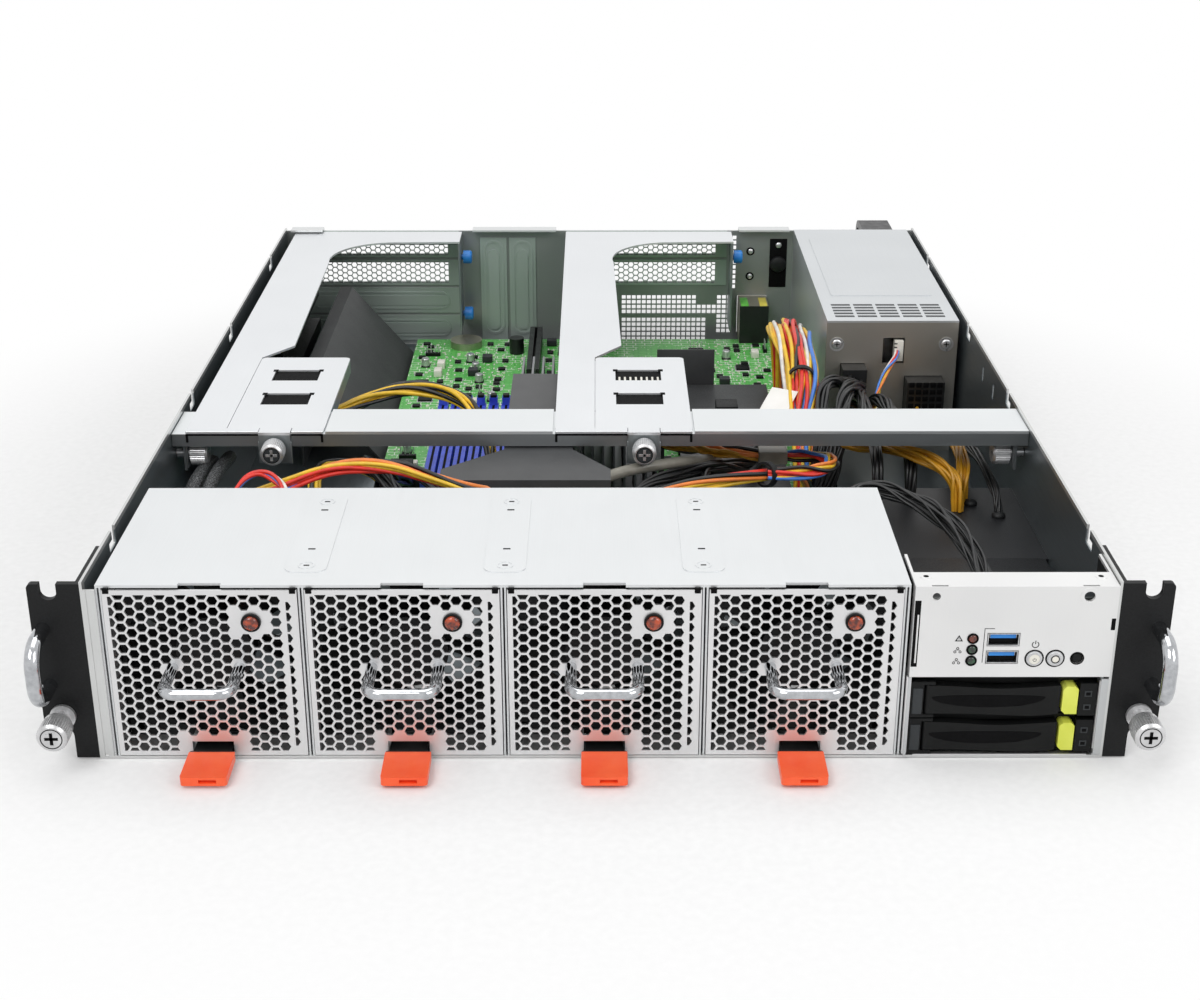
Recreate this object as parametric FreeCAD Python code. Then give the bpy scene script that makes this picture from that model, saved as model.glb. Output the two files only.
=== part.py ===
import FreeCAD, Part
import math
import os

V = FreeCAD.Vector

# A rack server, two rack units high, with its lid off. Millimetres.
# x runs to the right, y to the rear, z up. y = 0 is the rack ears' mating plane.

# Chassis sheet metal
chassis_width = 438.0
chassis_depth = 560.0
wall_height = 85.5
sheet = 1.2
notch_width = 6.0
notch_depth = 8.5
notch_hook = 5.0
notch_setbacks = (52.0, 228.0, 342.0, 487.0)
wall_slot_setbacks = (264.5, 293.5)
wall_slot_width = 3.0
wall_slot = (68.0, 76.0)
strip_groove = 1.6
seat_gap = 0.3

# Rack ears, their handles and captive screws
rack_width = 482.6
ear_thickness = 3.0
ear_top = 84.6
ear_foot_top = 17.0
ear_foot_reach = 10.0
ear_leg_depth = 38.0
ear_leg_thickness = 2.2
rack_hole_spacing = 465.1
rack_slot_width = 7.4
rack_slot_floor = 77.2
ear_screw_z = 21.5
ear_screw_hole = 6.0
ear_handle_low = 36.5
ear_handle_high = 63.5
ear_handle_reach = 20.0
ear_handle_bar = 6.5
ear_handle_inset = 4.8
screw_shank = 4.8
screw_running_gap = 0.05
ear_screw_reach = 23.0
ear_screw_grip = 11.0
ear_screw_head = 13.0
ear_screw_stud = 9.0

# Hot swap fan modules and the cage that they slide into
fan_count = 4
fan_pitch = 85.17
fan_first_x = -169.0
divider = 2.4
divider_sheet = 0.8
module_gap = 0.4
cage_setback = 1.0
cage_depth = 103.5
cage_top = 84.0
strap_rise = 0.4
strap_width = 18.0
strap_setback = 13.0
strap_length = 82.0
strap_corner = 5.0
finger_notch = 18.0
carrier_sheet = 1.0
carrier_top = 81.7
carrier_return = 13.0
carrier_depth = 62.0
hex_pitch = 5.07
hex_web = 0.95
hex_least = 0.3
grille_margin = 2.2
grille_strip = 2.8
grille_bar = 1.1
lever_patch = 16.0
lever_patch_top = 10.5
bail_foot = 3.2
lamp_offset = 20.9
lamp_z = 66.7
lamp_radius = 3.9
lamp_pad = 7.0
fan_size = 79.5
fan_depth = 38.0
fan_setback = 16.0
fan_bore = 76.0
fan_tip_gap = 1.0
fan_corner_hole = 4.3
fan_corner_spacing = 71.5
hub_radius = 17.0
hub_depth = 27.0
blade_count = 7
blade_thickness = 1.3
blade_chord = 21.0
blade_root_pitch = 52.0
blade_tip_pitch = 30.0
shaft_radius = 2.0
bail_wire = 5.0
bail_span = 28.5
bail_reach = 23.5
bail_z = 45.0
bail_bend = 6.0
lever_tab_width = 20.0
lever_neck_width = 16.0
lever_thickness = 4.0
lever_reach = 25.0
lever_slot_top = 8.4
lever_pivot_setback = 13.0
lever_pin_radius = 1.0
lever_lug = 1.5

# Control panel and the two drive bays below it
panel_left = 131.7
panel_right = 217.4
panel_low = 41.0
panel_high = 84.0
panel_proud = 1.8
panel_flange = 14.0
usb_x = 170.5
usb_width = 13.4
usb_height = 5.8
usb_depth = 17.0
usb_places = (59.0, 50.6)
usb_wall = 0.4
status_x = 157.5
status_places = (59.5, 54.2, 48.9)
status_radius = 2.2
button_places = {"power": (184.3, 3.4), "uid": (193.2, 3.4), "reset": (202.6, 2.3)}
button_z = 50.0
button_gap = 0.3
button_travel = 1.0
button_flange = 0.7
board_thickness = 1.6
bay_left = 133.5
bay_width = 80.0
tray_height = 17.4
tray_places = (2.1, 20.1)
tray_depth = 112.0
tray_wall = 1.5
bezel_depth = 9.0
latch_width = 7.2
lamp_column = 7.4
lever_hinge_inset = 8.0
drive_lever_thickness = 4.0
drive_pin_radius = 1.2
pull_post = 8.0
pull_wave = (0.0, -0.5, -1.4, -1.0, 0.0)
pull_sag = (0.0, 0.0, -0.5, -1.1, 0.0)
grip_top = (0.8, 0.9, 0.2, 1.2, 1.6)
grip_bottom = (0.2, -1.0, -2.6, -3.2, 0.6)

# Crossbar
bar_setback = 176.0
bar_depth = 32.0
bar_drop = 6.6
bar_step = 1.4
bar_screw_z = 69.0
bar_screw_head = 12.0
bar_screw_length = 10.0
bar_tab_inset = 5.0

# Riser cages
riser_left = -210.6
riser_width = 115.0
riser_offset = 187.4
riser_front = 181.0
riser_band = 32.5
riser_box_left = 20.6
riser_seam = 0.3
riser_corner = 3.0
riser_tab = 16.0
riser_box_width = 49.5
riser_box_back = 290.0
riser_knee = 311.0
riser_arch = 481.0
riser_back_band = 26.0
riser_skirt = 8.0
riser_bracket_low = 20.0
riser_wall_setback = 388.0
riser_screw_z = 76.0
riser_screw_head = 11.5
riser_windows = (215.0, 252.0)
riser_window_inset = 11.0
riser_window_width = 25.0
riser_window_depth = 17.0
card_plug = 7.0

# Rear panel, card slots and their covers
slot_pitch = 20.32
cover_width = 18.4
cover_length = 112.0
cover_thickness = 1.0
slot_top_z = 74.4
slot_window = 14.0
centre_cover_x = -74.1
centre_cover_low = 4.0
centre_cover_high = 79.0
vent_pitch = 3.95
vent_web = 0.6
vent_rows = 4
square_pitch = 3.55
square_hole = 2.75
square_fields = ((16.0, 15, 23.6, 4), (69.25, 4, 23.6, 2), (83.45, 3, 9.4, 8), (16.0, 17, 3.4, 5))
bracket_holes = (93.2, 42.0, 11)
rib_width = 7.5
rib_inset = 12.0
rib_rise = 0.8
card_screw_head = 9.0
card_screw_length = 7.0
rear_tab_top = 86.3

# Power supply bay
psu_left = 135.6
psu_width = 78.6
psu_setback = 354.0
psu_top = 84.6
psu_sheet = 1.0
psu_gap = 0.5
psu_module_width = 73.5
psu_module_height = 40.0
psu_module_depth = 190.0
psu_handle_reach = 40.0
psu_handle_width = 21.0
psu_handle_left = 47.0
psu_handle_strap = 5.0
psu_handle_low = 9.0
psu_handle_bend = 10.0
psu_panel_rise = 0.4
psu_windows = (((9.0, 24.0), (22.0, 58.0)), ((34.0, 47.0), (58.0, 74.0)), ((48.0, 71.0), (14.0, 50.0)))
psu_plug = 12.0
louvre_width = 11.0
louvre_height = 2.0

# Main board and what stands on it
board_left = -128.0
board_right = 130.0
board_setback = 205.0
board_depth = 338.0
standoff = 6.8
standoff_flats = 6.0
memory_setback = 250.0
memory_length = 142.0
memory_height = 14.0
memory_width = 6.2
memory_pitch = 7.9
memory_groups = (-98.0, 62.0)
memory_per_group = 6
header_height = 10.0
header_size = 12.0
power_headers = ((-112.0, 212.0), (-57.5, 226.0), (118.0, 408.0), (112.0, 233.0), (112.0, 212.0))
lan_left = 98.0
lan_width = 20.0
lan_height = 27.0
sink_width = 76.0
sink_depth = 108.0
sink_height = 60.0
sink_x = -7.0
sink_setback = 225.0
fin_count = 14
fin_thickness = 1.2
shroud_wall = 1.6
shroud_top = 75.0
shroud_setback = 134.0
shroud_end = 288.0
shroud_flare = 30.0
shelf_z = 41.0
shelf_depth = 203.0

half = chassis_width / 2
front = -ear_thickness
back = front + chassis_depth
inner = half - sheet
module_width = fan_pitch - divider - 2 * module_gap
cage_back = front + cage_setback + cage_depth
cover_under = cage_top - strap_rise - sheet
carrier_floor = sheet + seat_gap
fan_floor = carrier_floor + carrier_sheet
fan_axis_z = fan_floor + fan_size / 2
board_low = sheet + standoff
board_top = board_low + board_thickness
panel_face = front - panel_proud
bar_top = cage_top
riser_top = cage_top


def block(x, y, z):
    """A box from three (low, high) pairs."""
    return Part.makeBox(x[1] - x[0], y[1] - y[0], z[1] - z[0], V(x[0], y[0], z[0]))


def rod(point, axis, radius, length):
    return Part.makeCylinder(radius, length, V(*point), V(*axis))


def join(shapes):
    shapes = list(shapes)
    if len(shapes) == 1:
        return shapes[0]
    return shapes[0].multiFuse(shapes[1:]).removeSplitter()


def closed(points):
    return Part.makePolygon([V(*p) for p in points] + [V(*points[0])])


def pierced(outline, holes, direction):
    """A flat plate with holes, extruded from its outline."""
    face = Part.makeFace([outline] + list(holes), "Part::FaceMakerBullseye")
    return face.extrude(V(*direction))


def upright(points, y):
    """A closed outline given as (x, z) points, standing at one y."""
    return closed([(x, y, z) for x, z in points])


def rectangle(x, z, y):
    return upright([(x[0], z[0]), (x[1], z[0]), (x[1], z[1]), (x[0], z[1])], y)


def ring(centre, axis, radius):
    return Part.Wire([Part.Circle(V(*centre), V(*axis), radius).toShape()])


def hexagon(x, z, flats):
    radius = flats / math.sqrt(3)
    turns = [math.radians(60 * k) for k in range(6)]
    return [(x + radius * math.cos(a), z + radius * math.sin(a)) for a in turns]


def clipped(points, x, z):
    """The part of an (x, z) outline that lies in a window."""
    for axis, limit, side in ((0, x[0], 1), (0, x[1], -1), (1, z[0], 1), (1, z[1], -1)):
        kept = []
        for a, b in zip(points, points[1:] + points[:1]):
            a_in = side * (a[axis] - limit) > 0
            b_in = side * (b[axis] - limit) > 0
            if a_in:
                kept.append(a)
            if a_in != b_in:
                t = (limit - a[axis]) / (b[axis] - a[axis])
                kept.append((a[0] + t * (b[0] - a[0]), a[1] + t * (b[1] - a[1])))
        points = kept
    return points


def area(points):
    return abs(sum(a[0] * b[1] - b[0] * a[1] for a, b in zip(points, points[1:] + points[:1]))) / 2


def hex_field(start, x, z, y, pitch, web, blocked):
    """Hexagonal holes that fill a window, cut off at its edges, apart from the blocked boxes."""
    column = pitch * math.sqrt(3) / 2
    flats = pitch - web
    whole = area(hexagon(0, 0, flats))
    holes = []
    for i in range(int((x[1] - start) / column) + 2):
        for j in range(int((z[1] - z[0]) / pitch) + 2):
            px = start + i * column
            pz = z[0] + flats / 2 + (j - 0.5 * (i % 2)) * pitch
            near = [b for b in blocked if abs(px - b[0]) < b[2] and abs(pz - b[1]) < b[3]]
            outline = clipped(hexagon(px, pz, flats), x, z)
            if not near and area(outline) > hex_least * whole:
                holes.append(upright(outline, y))
    return holes


def stadium(x, z, y, width):
    """A long round-ended outline between two (x, z) points along one axis."""
    r = width / 2
    if abs(x[1] - x[0]) > abs(z[1] - z[0]):
        a, b, side, end = V(x[0], y, z[0]), V(x[1], y, z[0]), V(0, 0, r), V(r, 0, 0)
    else:
        a, b, side, end = V(x[0], y, z[0]), V(x[0], y, z[1]), V(r, 0, 0), V(0, 0, r)
    edges = [Part.LineSegment(a + side, b + side), Part.Arc(b + side, b + end, b - side),
             Part.LineSegment(b - side, a - side), Part.Arc(a - side, a - end, a + side)]
    return Part.Wire([e.toShape() for e in edges])


def eased(shape, radius, along, chosen):
    """A block with the chosen edges that run along one axis rounded."""
    picked = []
    for edge in shape.Edges:
        run = edge.Vertexes[-1].Point - edge.Vertexes[0].Point
        if abs(abs(run.normalize() * V(*along)) - 1) < 1e-6 and chosen(edge.CenterOfMass):
            picked.append(edge)
    return shape.makeFillet(radius, picked)


def bent_path(points, radius_at):
    """Straight runs joined by tangent arcs, as one wire."""
    points = [V(*p) for p in points]
    edges = []
    start = points[0]
    for k in range(1, len(points) - 1):
        into = (points[k] - points[k - 1]).normalize()
        out = (points[k + 1] - points[k]).normalize()
        turn = into.getAngle(out)
        radius = radius_at(points, k, turn)
        cut = radius * math.tan(turn / 2)
        first = points[k] - into * cut
        last = points[k] + out * cut
        bisector = (out - into).normalize()
        centre = points[k] + bisector * (radius / math.cos(turn / 2))
        middle = centre - bisector * radius
        edges.append(Part.LineSegment(start, first).toShape())
        edges.append(Part.Arc(first, middle, last).toShape())
        start = last
    edges.append(Part.LineSegment(start, points[-1]).toShape())
    return Part.Wire(edges)


def swept(path, diameter):
    """A round bar along a path: a cylinder on each straight run, a torus in each bend."""
    pieces = []
    for edge in path.OrderedEdges:
        begin = edge.valueAt(edge.FirstParameter)
        along = edge.tangentAt(edge.FirstParameter)
        disc = Part.Face(Part.Wire([Part.Circle(begin, along, diameter / 2).toShape()]))
        if isinstance(edge.Curve, Part.Circle):
            turn = math.degrees(edge.LastParameter - edge.FirstParameter)
            pieces.append(disc.revolve(edge.Curve.Center, edge.Curve.Axis, turn))
        else:
            pieces.append(disc.extrude(along * edge.Length))
    return join(pieces)


def bent_bar(points, diameter, bend):
    """A round bar bent to one radius."""
    return swept(bent_path(points, lambda all_points, k, turn: bend), diameter)


def cable(name, points, diameter):
    """A bundle of wires as one tube, each bend as large as its runs allow."""
    radii = []

    def roomy(all_points, k, turn):
        before = (all_points[k] - all_points[k - 1]).Length
        after = (all_points[k + 1] - all_points[k]).Length
        radii.append(0.45 * min(before, after) / math.tan(turn / 2))
        return radii[-1]

    path = bent_path(points, roomy)
    tube = swept(path, diameter)
    ideal = math.pi * diameter ** 2 / 4 * path.Length
    shown = " ".join("%.0f" % r for r in radii)
    print("%s length %.0f radii %s volume ratio %.3f" % (name, path.Length, shown, tube.Volume / ideal))
    return tube


def mirrored(shape):
    return shape.mirror(V(0, 0, 0), V(1, 0, 0))


def save(name, shapes):
    shapes = list(shapes)
    shape = shapes[0] if len(shapes) == 1 else Part.makeCompound(shapes)
    shape.exportStep("parts/" + name + ".step")


def knob(point, axis, profile):
    """A turned piece: (radius, distance along the axis) pairs, revolved."""
    axis = V(*axis)
    side = V(0, 0, 1) if abs(axis.z) < 0.5 else V(1, 0, 0)
    points = [V(*point) + side * r + axis * d for r, d in profile]
    wire = Part.makePolygon(points + [points[0]])
    return Part.Face(wire).revolve(V(*point), axis, 360)


def cross_recess(point, axis, size, depth):
    """The cross cut into a screw head, its mouth at the point and its depth against the axis."""
    width = size / 5
    arms = []
    for span in ((size, width), (width, size)):
        if abs(axis[0]) > 0.5:
            low = min(0, -axis[0] * depth)
            arm = Part.makeBox(depth, span[0], span[1], V(low, -span[0] / 2, -span[1] / 2))
        else:
            low = min(0, -axis[1] * depth)
            arm = Part.makeBox(span[0], depth, span[1], V(-span[0] / 2, low, -span[1] / 2))
        arm.translate(V(*point))
        arms.append(arm)
    return join(arms)


# Chassis

def chassis_tray():
    base = block((-half, half), (front, back), (0, sheet))
    wall = block((inner, half), (front, back), (0, wall_height))
    for setback in notch_setbacks:
        y = front + setback
        floor = wall_height - notch_depth
        wall = wall.cut(block((inner - 1, half + 1), (y, y + notch_width), (floor, wall_height + 1)))
        hook = block((inner - 1, half + 1), (y - notch_hook, y + 1), (floor, floor + notch_depth / 2))
        wall = wall.cut(hook)
    strip_right = fan_first_x - fan_pitch / 2 - divider / 2
    strip = block((-half, strip_right), (front, front + sheet), (0, carrier_top))
    posts = []
    for x in (board_left + 8, 0, board_right - 8):
        for y in (board_setback + 8, board_setback + board_depth / 2, board_setback + board_depth - 8):
            foot = closed([(px, py, sheet) for px, py in hexagon(x, front + y, standoff_flats)])
            posts.append(Part.Face(foot).extrude(V(0, 0, standoff)))
    left_wall = mirrored(wall)
    for setback in wall_slot_setbacks:
        y = front + setback
        wall = wall.cut(block((inner - 1, half + 1), (y, y + wall_slot_width), wall_slot))
    middle = (strip_right - half) / 2
    groove = block((middle - strip_groove / 2, middle + strip_groove / 2), (front - 1, front + sheet / 3),
                   (sheet, carrier_top + 1))
    return join([base, wall, left_wall, strip.cut(groove)] + posts)


def rack_ear():
    """The right-hand ear: a flange with an open rack slot, and a leg along the chassis wall."""
    outer = rack_width / 2
    slot = rack_hole_spacing / 2
    r = rack_slot_width / 2
    low = ear_foot_top
    foot = half + ear_foot_reach
    ease = 2.0
    y = front
    points = {
        "leg_low": (half, 0.4), "foot_low": (foot, 0.4), "foot_top": (foot, low - 6.0),
        "outer_low": (outer, low), "outer_high": (outer, ear_top - ease),
    }
    at = {k: V(x, y, z) for k, (x, z) in points.items()}
    hollow = V(foot + 1.8, y, low - 1.8)
    hollow_end = V(foot + 6.0, y, low)
    corner = V(outer - ease * 0.3, y, ear_top - ease * 0.3)
    corner_end = V(outer - ease, y, ear_top)
    mouth_right = V(slot + r, y, ear_top)
    floor_right = V(slot + r, y, rack_slot_floor + r)
    floor = V(slot, y, rack_slot_floor)
    floor_left = V(slot - r, y, rack_slot_floor + r)
    mouth_left = V(slot - r, y, ear_top)
    edges = [
        Part.LineSegment(at["leg_low"], at["foot_low"]),
        Part.LineSegment(at["foot_low"], at["foot_top"]),
        Part.Arc(at["foot_top"], hollow, hollow_end),
        Part.LineSegment(hollow_end, at["outer_low"]),
        Part.LineSegment(at["outer_low"], at["outer_high"]),
        Part.Arc(at["outer_high"], corner, corner_end),
        Part.LineSegment(corner_end, mouth_right),
        Part.LineSegment(mouth_right, floor_right),
        Part.Arc(floor_right, floor, floor_left),
        Part.LineSegment(floor_left, mouth_left),
        Part.LineSegment(mouth_left, V(half, y, ear_top)),
        Part.LineSegment(V(half, y, ear_top), at["leg_low"]),
    ]
    outline = Part.Wire([e.toShape() for e in edges])
    hole = ring((slot, y, ear_screw_z), (0, 1, 0), ear_screw_hole / 2)
    flange = pierced(outline, [hole], (0, ear_thickness, 0))
    leg = block((half, half + ear_leg_thickness), (front, front + ear_leg_depth), (0.4, ear_top))
    return join([flange, leg])


def ear_handle():
    """The right-hand pull handle, a bent bar that stands on the ear."""
    x = rack_width / 2 - ear_handle_inset
    reach = front - ear_handle_reach
    points = [(x, front, ear_handle_low), (x, reach, ear_handle_low),
              (x, reach, ear_handle_high), (x, front, ear_handle_high)]
    return bent_bar(points, ear_handle_bar, 10.0)


def ear_thumbscrew(side):
    """A captive screw: stud behind the ear, collar, neck and grip in front of it."""
    x = side * rack_hole_spacing / 2
    shank = screw_shank / 2
    grip = ear_screw_head / 2
    collar = ear_screw_hole / 2 + 2.6
    neck = ear_screw_hole / 2 + 0.6
    rise = ear_thickness + seat_gap
    passing = ear_screw_hole / 2 - screw_running_gap
    profile = [(0, -ear_screw_stud), (shank, -ear_screw_stud), (shank, 0), (passing, 0), (passing, rise),
               (collar, rise), (collar, rise + 1.5), (neck, rise + 1.5),
               (neck, ear_screw_reach - ear_screw_grip), (grip, ear_screw_reach - ear_screw_grip),
               (grip, ear_screw_reach - 1.0), (grip - 1.0, ear_screw_reach), (0, ear_screw_reach)]
    screw = knob((x, 0, ear_screw_z), (0, -1, 0), profile)
    return screw.cut(cross_recess((x, -ear_screw_reach, ear_screw_z), (0, -1, 0), 5.5, 2.0))


# Fan section

def fan_cage():
    low = front + cage_setback
    left = fan_first_x - fan_pitch / 2
    right = left + fan_count * fan_pitch
    cover = block((left - divider / 2, right + divider / 2), (low, cage_back), (cover_under, cover_under + sheet))
    walls = []
    straps = []
    for k in range(fan_count + 1):
        x = left + k * fan_pitch
        for side in (-1, 1):
            leaf = sorted((x + side * divider / 2, x + side * (divider / 2 - divider_sheet)))
            walls.append(block(leaf, (low, cage_back), (sheet, cover_under)))
        if 0 < k < fan_count:
            y = front + strap_setback
            wide = (x - strap_width / 2, x + strap_width / 2)
            strap = block(wide, (y, y + strap_length), (cover_under + sheet, cage_top))
            straps.append(eased(strap, strap_corner, (0, 0, 1), lambda c: True))
    outlets = [ring((fan_first_x + k * fan_pitch, cage_back - sheet, fan_axis_z), (0, 1, 0), fan_bore / 2)
               for k in range(fan_count)]
    frame = rectangle((left, right), (sheet, cover_under), cage_back - sheet)
    rear = pierced(frame, outlets, (0, sheet, 0))
    cage = join([cover, rear] + walls + straps)
    for k in range(fan_count):
        x = fan_first_x + k * fan_pitch
        finger = block((x - finger_notch / 2, x + finger_notch / 2), (low - 1, low + 2.2),
                       (cover_under - 1, cage_top + 1))
        cage = cage.cut(finger)
    return cage


def fan_carrier(x):
    """The module's sheet metal: a hexagonal grille on a tray with side returns and lever lugs."""
    half_module = module_width / 2
    outline = rectangle((x - half_module, x + half_module), (carrier_floor, carrier_top), front)
    left = x - half_module + grille_margin
    right = x + half_module - grille_margin
    bar = right - grille_strip
    window_z = (carrier_floor + grille_margin, carrier_top - grille_margin)
    lamp = (x + lamp_offset, lamp_z, lamp_pad, lamp_pad)
    patch = (x, carrier_floor, lever_patch, lever_patch_top)
    feet = [(x + s * bail_span / 2, bail_z, bail_foot, bail_foot) for s in (-1, 1)]
    holes = []
    for span in ((left, bar - grille_bar), (bar, right)):
        holes += hex_field(left, span, window_z, front, hex_pitch, hex_web, [lamp, patch] + feet)
    holes.append(ring((lamp[0], front, lamp_z), (0, 1, 0), lamp_radius + seat_gap))
    plate = pierced(outline, holes, (0, carrier_sheet, 0))
    mouth = lever_neck_width / 2 + 1.0
    plate = plate.cut(block((x - mouth, x + mouth), (front - 1, front + 2), (0, lever_slot_top)))
    sides = []
    for s in (-1, 1):
        edge = sorted((x + s * half_module, x + s * (half_module - carrier_sheet)))
        sides.append(block(edge, (front + carrier_sheet, front + carrier_return), (carrier_floor, carrier_top)))
    floor = block((x - half_module, x + half_module), (front + carrier_sheet, front + carrier_depth),
                  (carrier_floor, fan_floor))
    floor = floor.cut(block((x - mouth, x + mouth), (front, front + fan_setback - 1.0), (0, 10)))
    pin_y = front + lever_pivot_setback
    pin_z = carrier_floor + lever_thickness / 2
    lugs = []
    for s in (-1, 1):
        span = sorted((x + s * mouth, x + s * (mouth + lever_lug)))
        lugs.append(block(span, (pin_y - 2.4, pin_y + 2.4), (carrier_floor, pin_z + 2.4)))
    pin = rod((x - mouth - lever_lug, pin_y, pin_z), (1, 0, 0), lever_pin_radius, 2 * (mouth + lever_lug))
    return [plate, join([floor, pin] + sides + lugs)]


def fan_lamp(x):
    """A domed warning lamp in the carrier's round hole."""
    r = lamp_radius
    profile = [(0, -2.6), (r - 1.2, -1.6), (r - 0.8, -0.9), (r, -0.9), (r, carrier_sheet + 4.0),
               (0, carrier_sheet + 4.0)]
    return knob((x + lamp_offset, front, lamp_z), (0, 1, 0), profile)


def fan_frame(x):
    """Square fan housing with a round throat, corner holes, struts and a bearing tube."""
    y = front + fan_setback
    s = fan_size / 2
    outline = rectangle((x - s, x + s), (fan_axis_z - s, fan_axis_z + s), y)
    c = fan_corner_spacing / 2
    holes = [ring((x, y, fan_axis_z), (0, 1, 0), fan_bore / 2)]
    for a in (-1, 1):
        for b in (-1, 1):
            holes.append(ring((x + a * c, y, fan_axis_z + b * c), (0, 1, 0), fan_corner_hole / 2))
    shell = pierced(outline, holes, (0, fan_depth, 0))
    rear = y + fan_depth
    strut_depth = 5.0
    boss = rod((x, rear - strut_depth, fan_axis_z), (0, 1, 0), hub_radius, strut_depth)
    struts = []
    for k in range(4):
        strut = block((x - 1.6, x + 1.6), (rear - strut_depth, rear), (fan_axis_z + 5, fan_axis_z + fan_bore / 2 + 1))
        strut.rotate(V(x, 0, fan_axis_z), V(0, 1, 0), 30 + 90 * k)
        struts.append(strut)
    frame = join([shell, boss] + struts)
    bearing = rod((x, rear - strut_depth - 1, fan_axis_z), (0, 1, 0), shaft_radius + screw_running_gap, strut_depth + 2)
    return frame.cut(bearing)


def fan_rotor(x):
    """A hub with twisted blades and a shaft that runs in the housing's bearing."""
    y = front + fan_setback + 3.0
    hub = rod((x, y, fan_axis_z), (0, 1, 0), hub_radius, hub_depth)
    shaft_end = front + fan_setback + fan_depth - 0.5
    shaft = rod((x, y + 1, fan_axis_z), (0, 1, 0), shaft_radius, shaft_end - y - 1)
    tip = fan_bore / 2 - fan_tip_gap
    middle = y + hub_depth / 2
    sections = []
    for radius, pitch in ((hub_radius - 1.5, blade_root_pitch), (tip + 1.0, blade_tip_pitch)):
        a = math.radians(pitch)
        run = blade_chord / 2 * math.cos(a)
        rise = blade_chord / 2 * math.sin(a)
        thick = blade_thickness / 2
        corners = [(-run, -rise - thick), (run, rise - thick), (run, rise + thick), (-run, -rise + thick)]
        sections.append(closed([(x + t, middle + u, fan_axis_z + radius) for t, u in corners]))
    sweep = rod((x, y, fan_axis_z), (0, 1, 0), tip, hub_depth)
    blade = Part.makeLoft(sections, True, True).common(sweep)
    ring_of_blades = []
    for k in range(blade_count):
        one = blade.copy()
        one.rotate(V(x, 0, fan_axis_z), V(0, 1, 0), 360 * k / blade_count)
        ring_of_blades.append(one)
    return join([hub, shaft] + ring_of_blades)


def fan_handle(x):
    """The bent wire bail that pulls the module out."""
    reach = front - bail_reach
    s = bail_span / 2
    points = [(x - s, front, bail_z), (x - s, reach, bail_z), (x + s, reach, bail_z), (x + s, front, bail_z)]
    return bent_bar(points, bail_wire, bail_bend)


def fan_lever(x):
    """The release tab: a broad grip in front of the grille and a neck back to its pivot."""
    low = carrier_floor
    high = low + lever_thickness
    pin_y = front + lever_pivot_setback
    tab = block((x - lever_tab_width / 2, x + lever_tab_width / 2), (front - lever_reach, front - 3.0), (low, high))
    vertical = [e for e in tab.Edges if abs(e.Vertexes[0].Z - e.Vertexes[-1].Z) > 1]
    tab = tab.makeFillet(1.6, vertical)
    window = block((x - 2.0, x + 5.6), (front - lever_reach - 1, front - lever_reach + 2.0), (low + 1.1, high - 1.1))
    neck = block((x - lever_neck_width / 2, x + lever_neck_width / 2), (front - 6.0, pin_y), (low, high))
    end = rod((x - lever_neck_width / 2, pin_y, low + lever_thickness / 2), (1, 0, 0), lever_thickness / 2,
              lever_neck_width)
    bore = rod((x - lever_neck_width, pin_y, low + lever_thickness / 2), (1, 0, 0),
               lever_pin_radius + screw_running_gap, 2 * lever_neck_width)
    return join([tab.cut(window), neck, end]).cut(bore)


# Control panel, drive bays

def control_panel():
    y = panel_face
    outline = rectangle((panel_left, panel_right), (panel_low, panel_high), y)
    holes = [rectangle((usb_x - usb_width / 2 - seat_gap, usb_x + usb_width / 2 + seat_gap),
                       (z - usb_height / 2 - seat_gap, z + usb_height / 2 + seat_gap), y) for z in usb_places]
    holes += [ring((status_x, y, z), (0, 1, 0), status_radius + seat_gap) for z in status_places]
    holes += [ring((x, y, button_z), (0, 1, 0), r + button_gap) for x, r in button_places.values()]
    holes += [ring((x, y, panel_high - 4.6), (0, 1, 0), r) for x, r in ((140.7, 1.7), (205.0, 2.3))]
    face = pierced(outline, holes, (0, sheet, 0))
    top = block((panel_left, panel_right), (y, y + panel_flange), (panel_high - sheet, panel_high))
    sides = []
    for edge in ((panel_left, panel_left + sheet), (panel_right - sheet, panel_right)):
        sides.append(block(edge, (y, y + panel_flange + 18), (panel_low, panel_high)))
    foot = block((panel_left, panel_right), (y, y + panel_flange), (panel_low, panel_low + sheet))
    panel = join([face, top, foot] + sides)
    for x in (142.0, 205.5):
        panel = panel.cut(block((x - 3.5, x + 3.5), (y + 0.4, y + 1.6), (panel_high - 2, panel_high + 1)))
    return panel


def front_io_board():
    """A small board behind the panel with its two ports and three lamps."""
    y = panel_face + usb_depth
    board = block((panel_left + 2, panel_right - 2), (y, y + board_thickness), (panel_low + 2, panel_high - 14))
    ports = []
    for z in usb_places:
        w = usb_width / 2
        h = usb_height / 2
        shell = block((usb_x - w, usb_x + w), (panel_face, y), (z - h, z + h))
        room = block((usb_x - w + usb_wall, usb_x + w - usb_wall), (panel_face - 1, y - 3.0),
                     (z - h + usb_wall, z + h - usb_wall))
        tongue = block((usb_x - w + 1.0, usb_x + w - 1.0), (panel_face + 1.2, y - 2.0), (z + 0.3, z + h - usb_wall))
        ports.append(join([shell.cut(room), tongue]))
    lamps = []
    for z in status_places:
        lamps.append(rod((status_x, panel_face + 0.4, z), (0, 1, 0), status_radius, y - panel_face - 0.4))
    return [board] + ports + lamps


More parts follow.
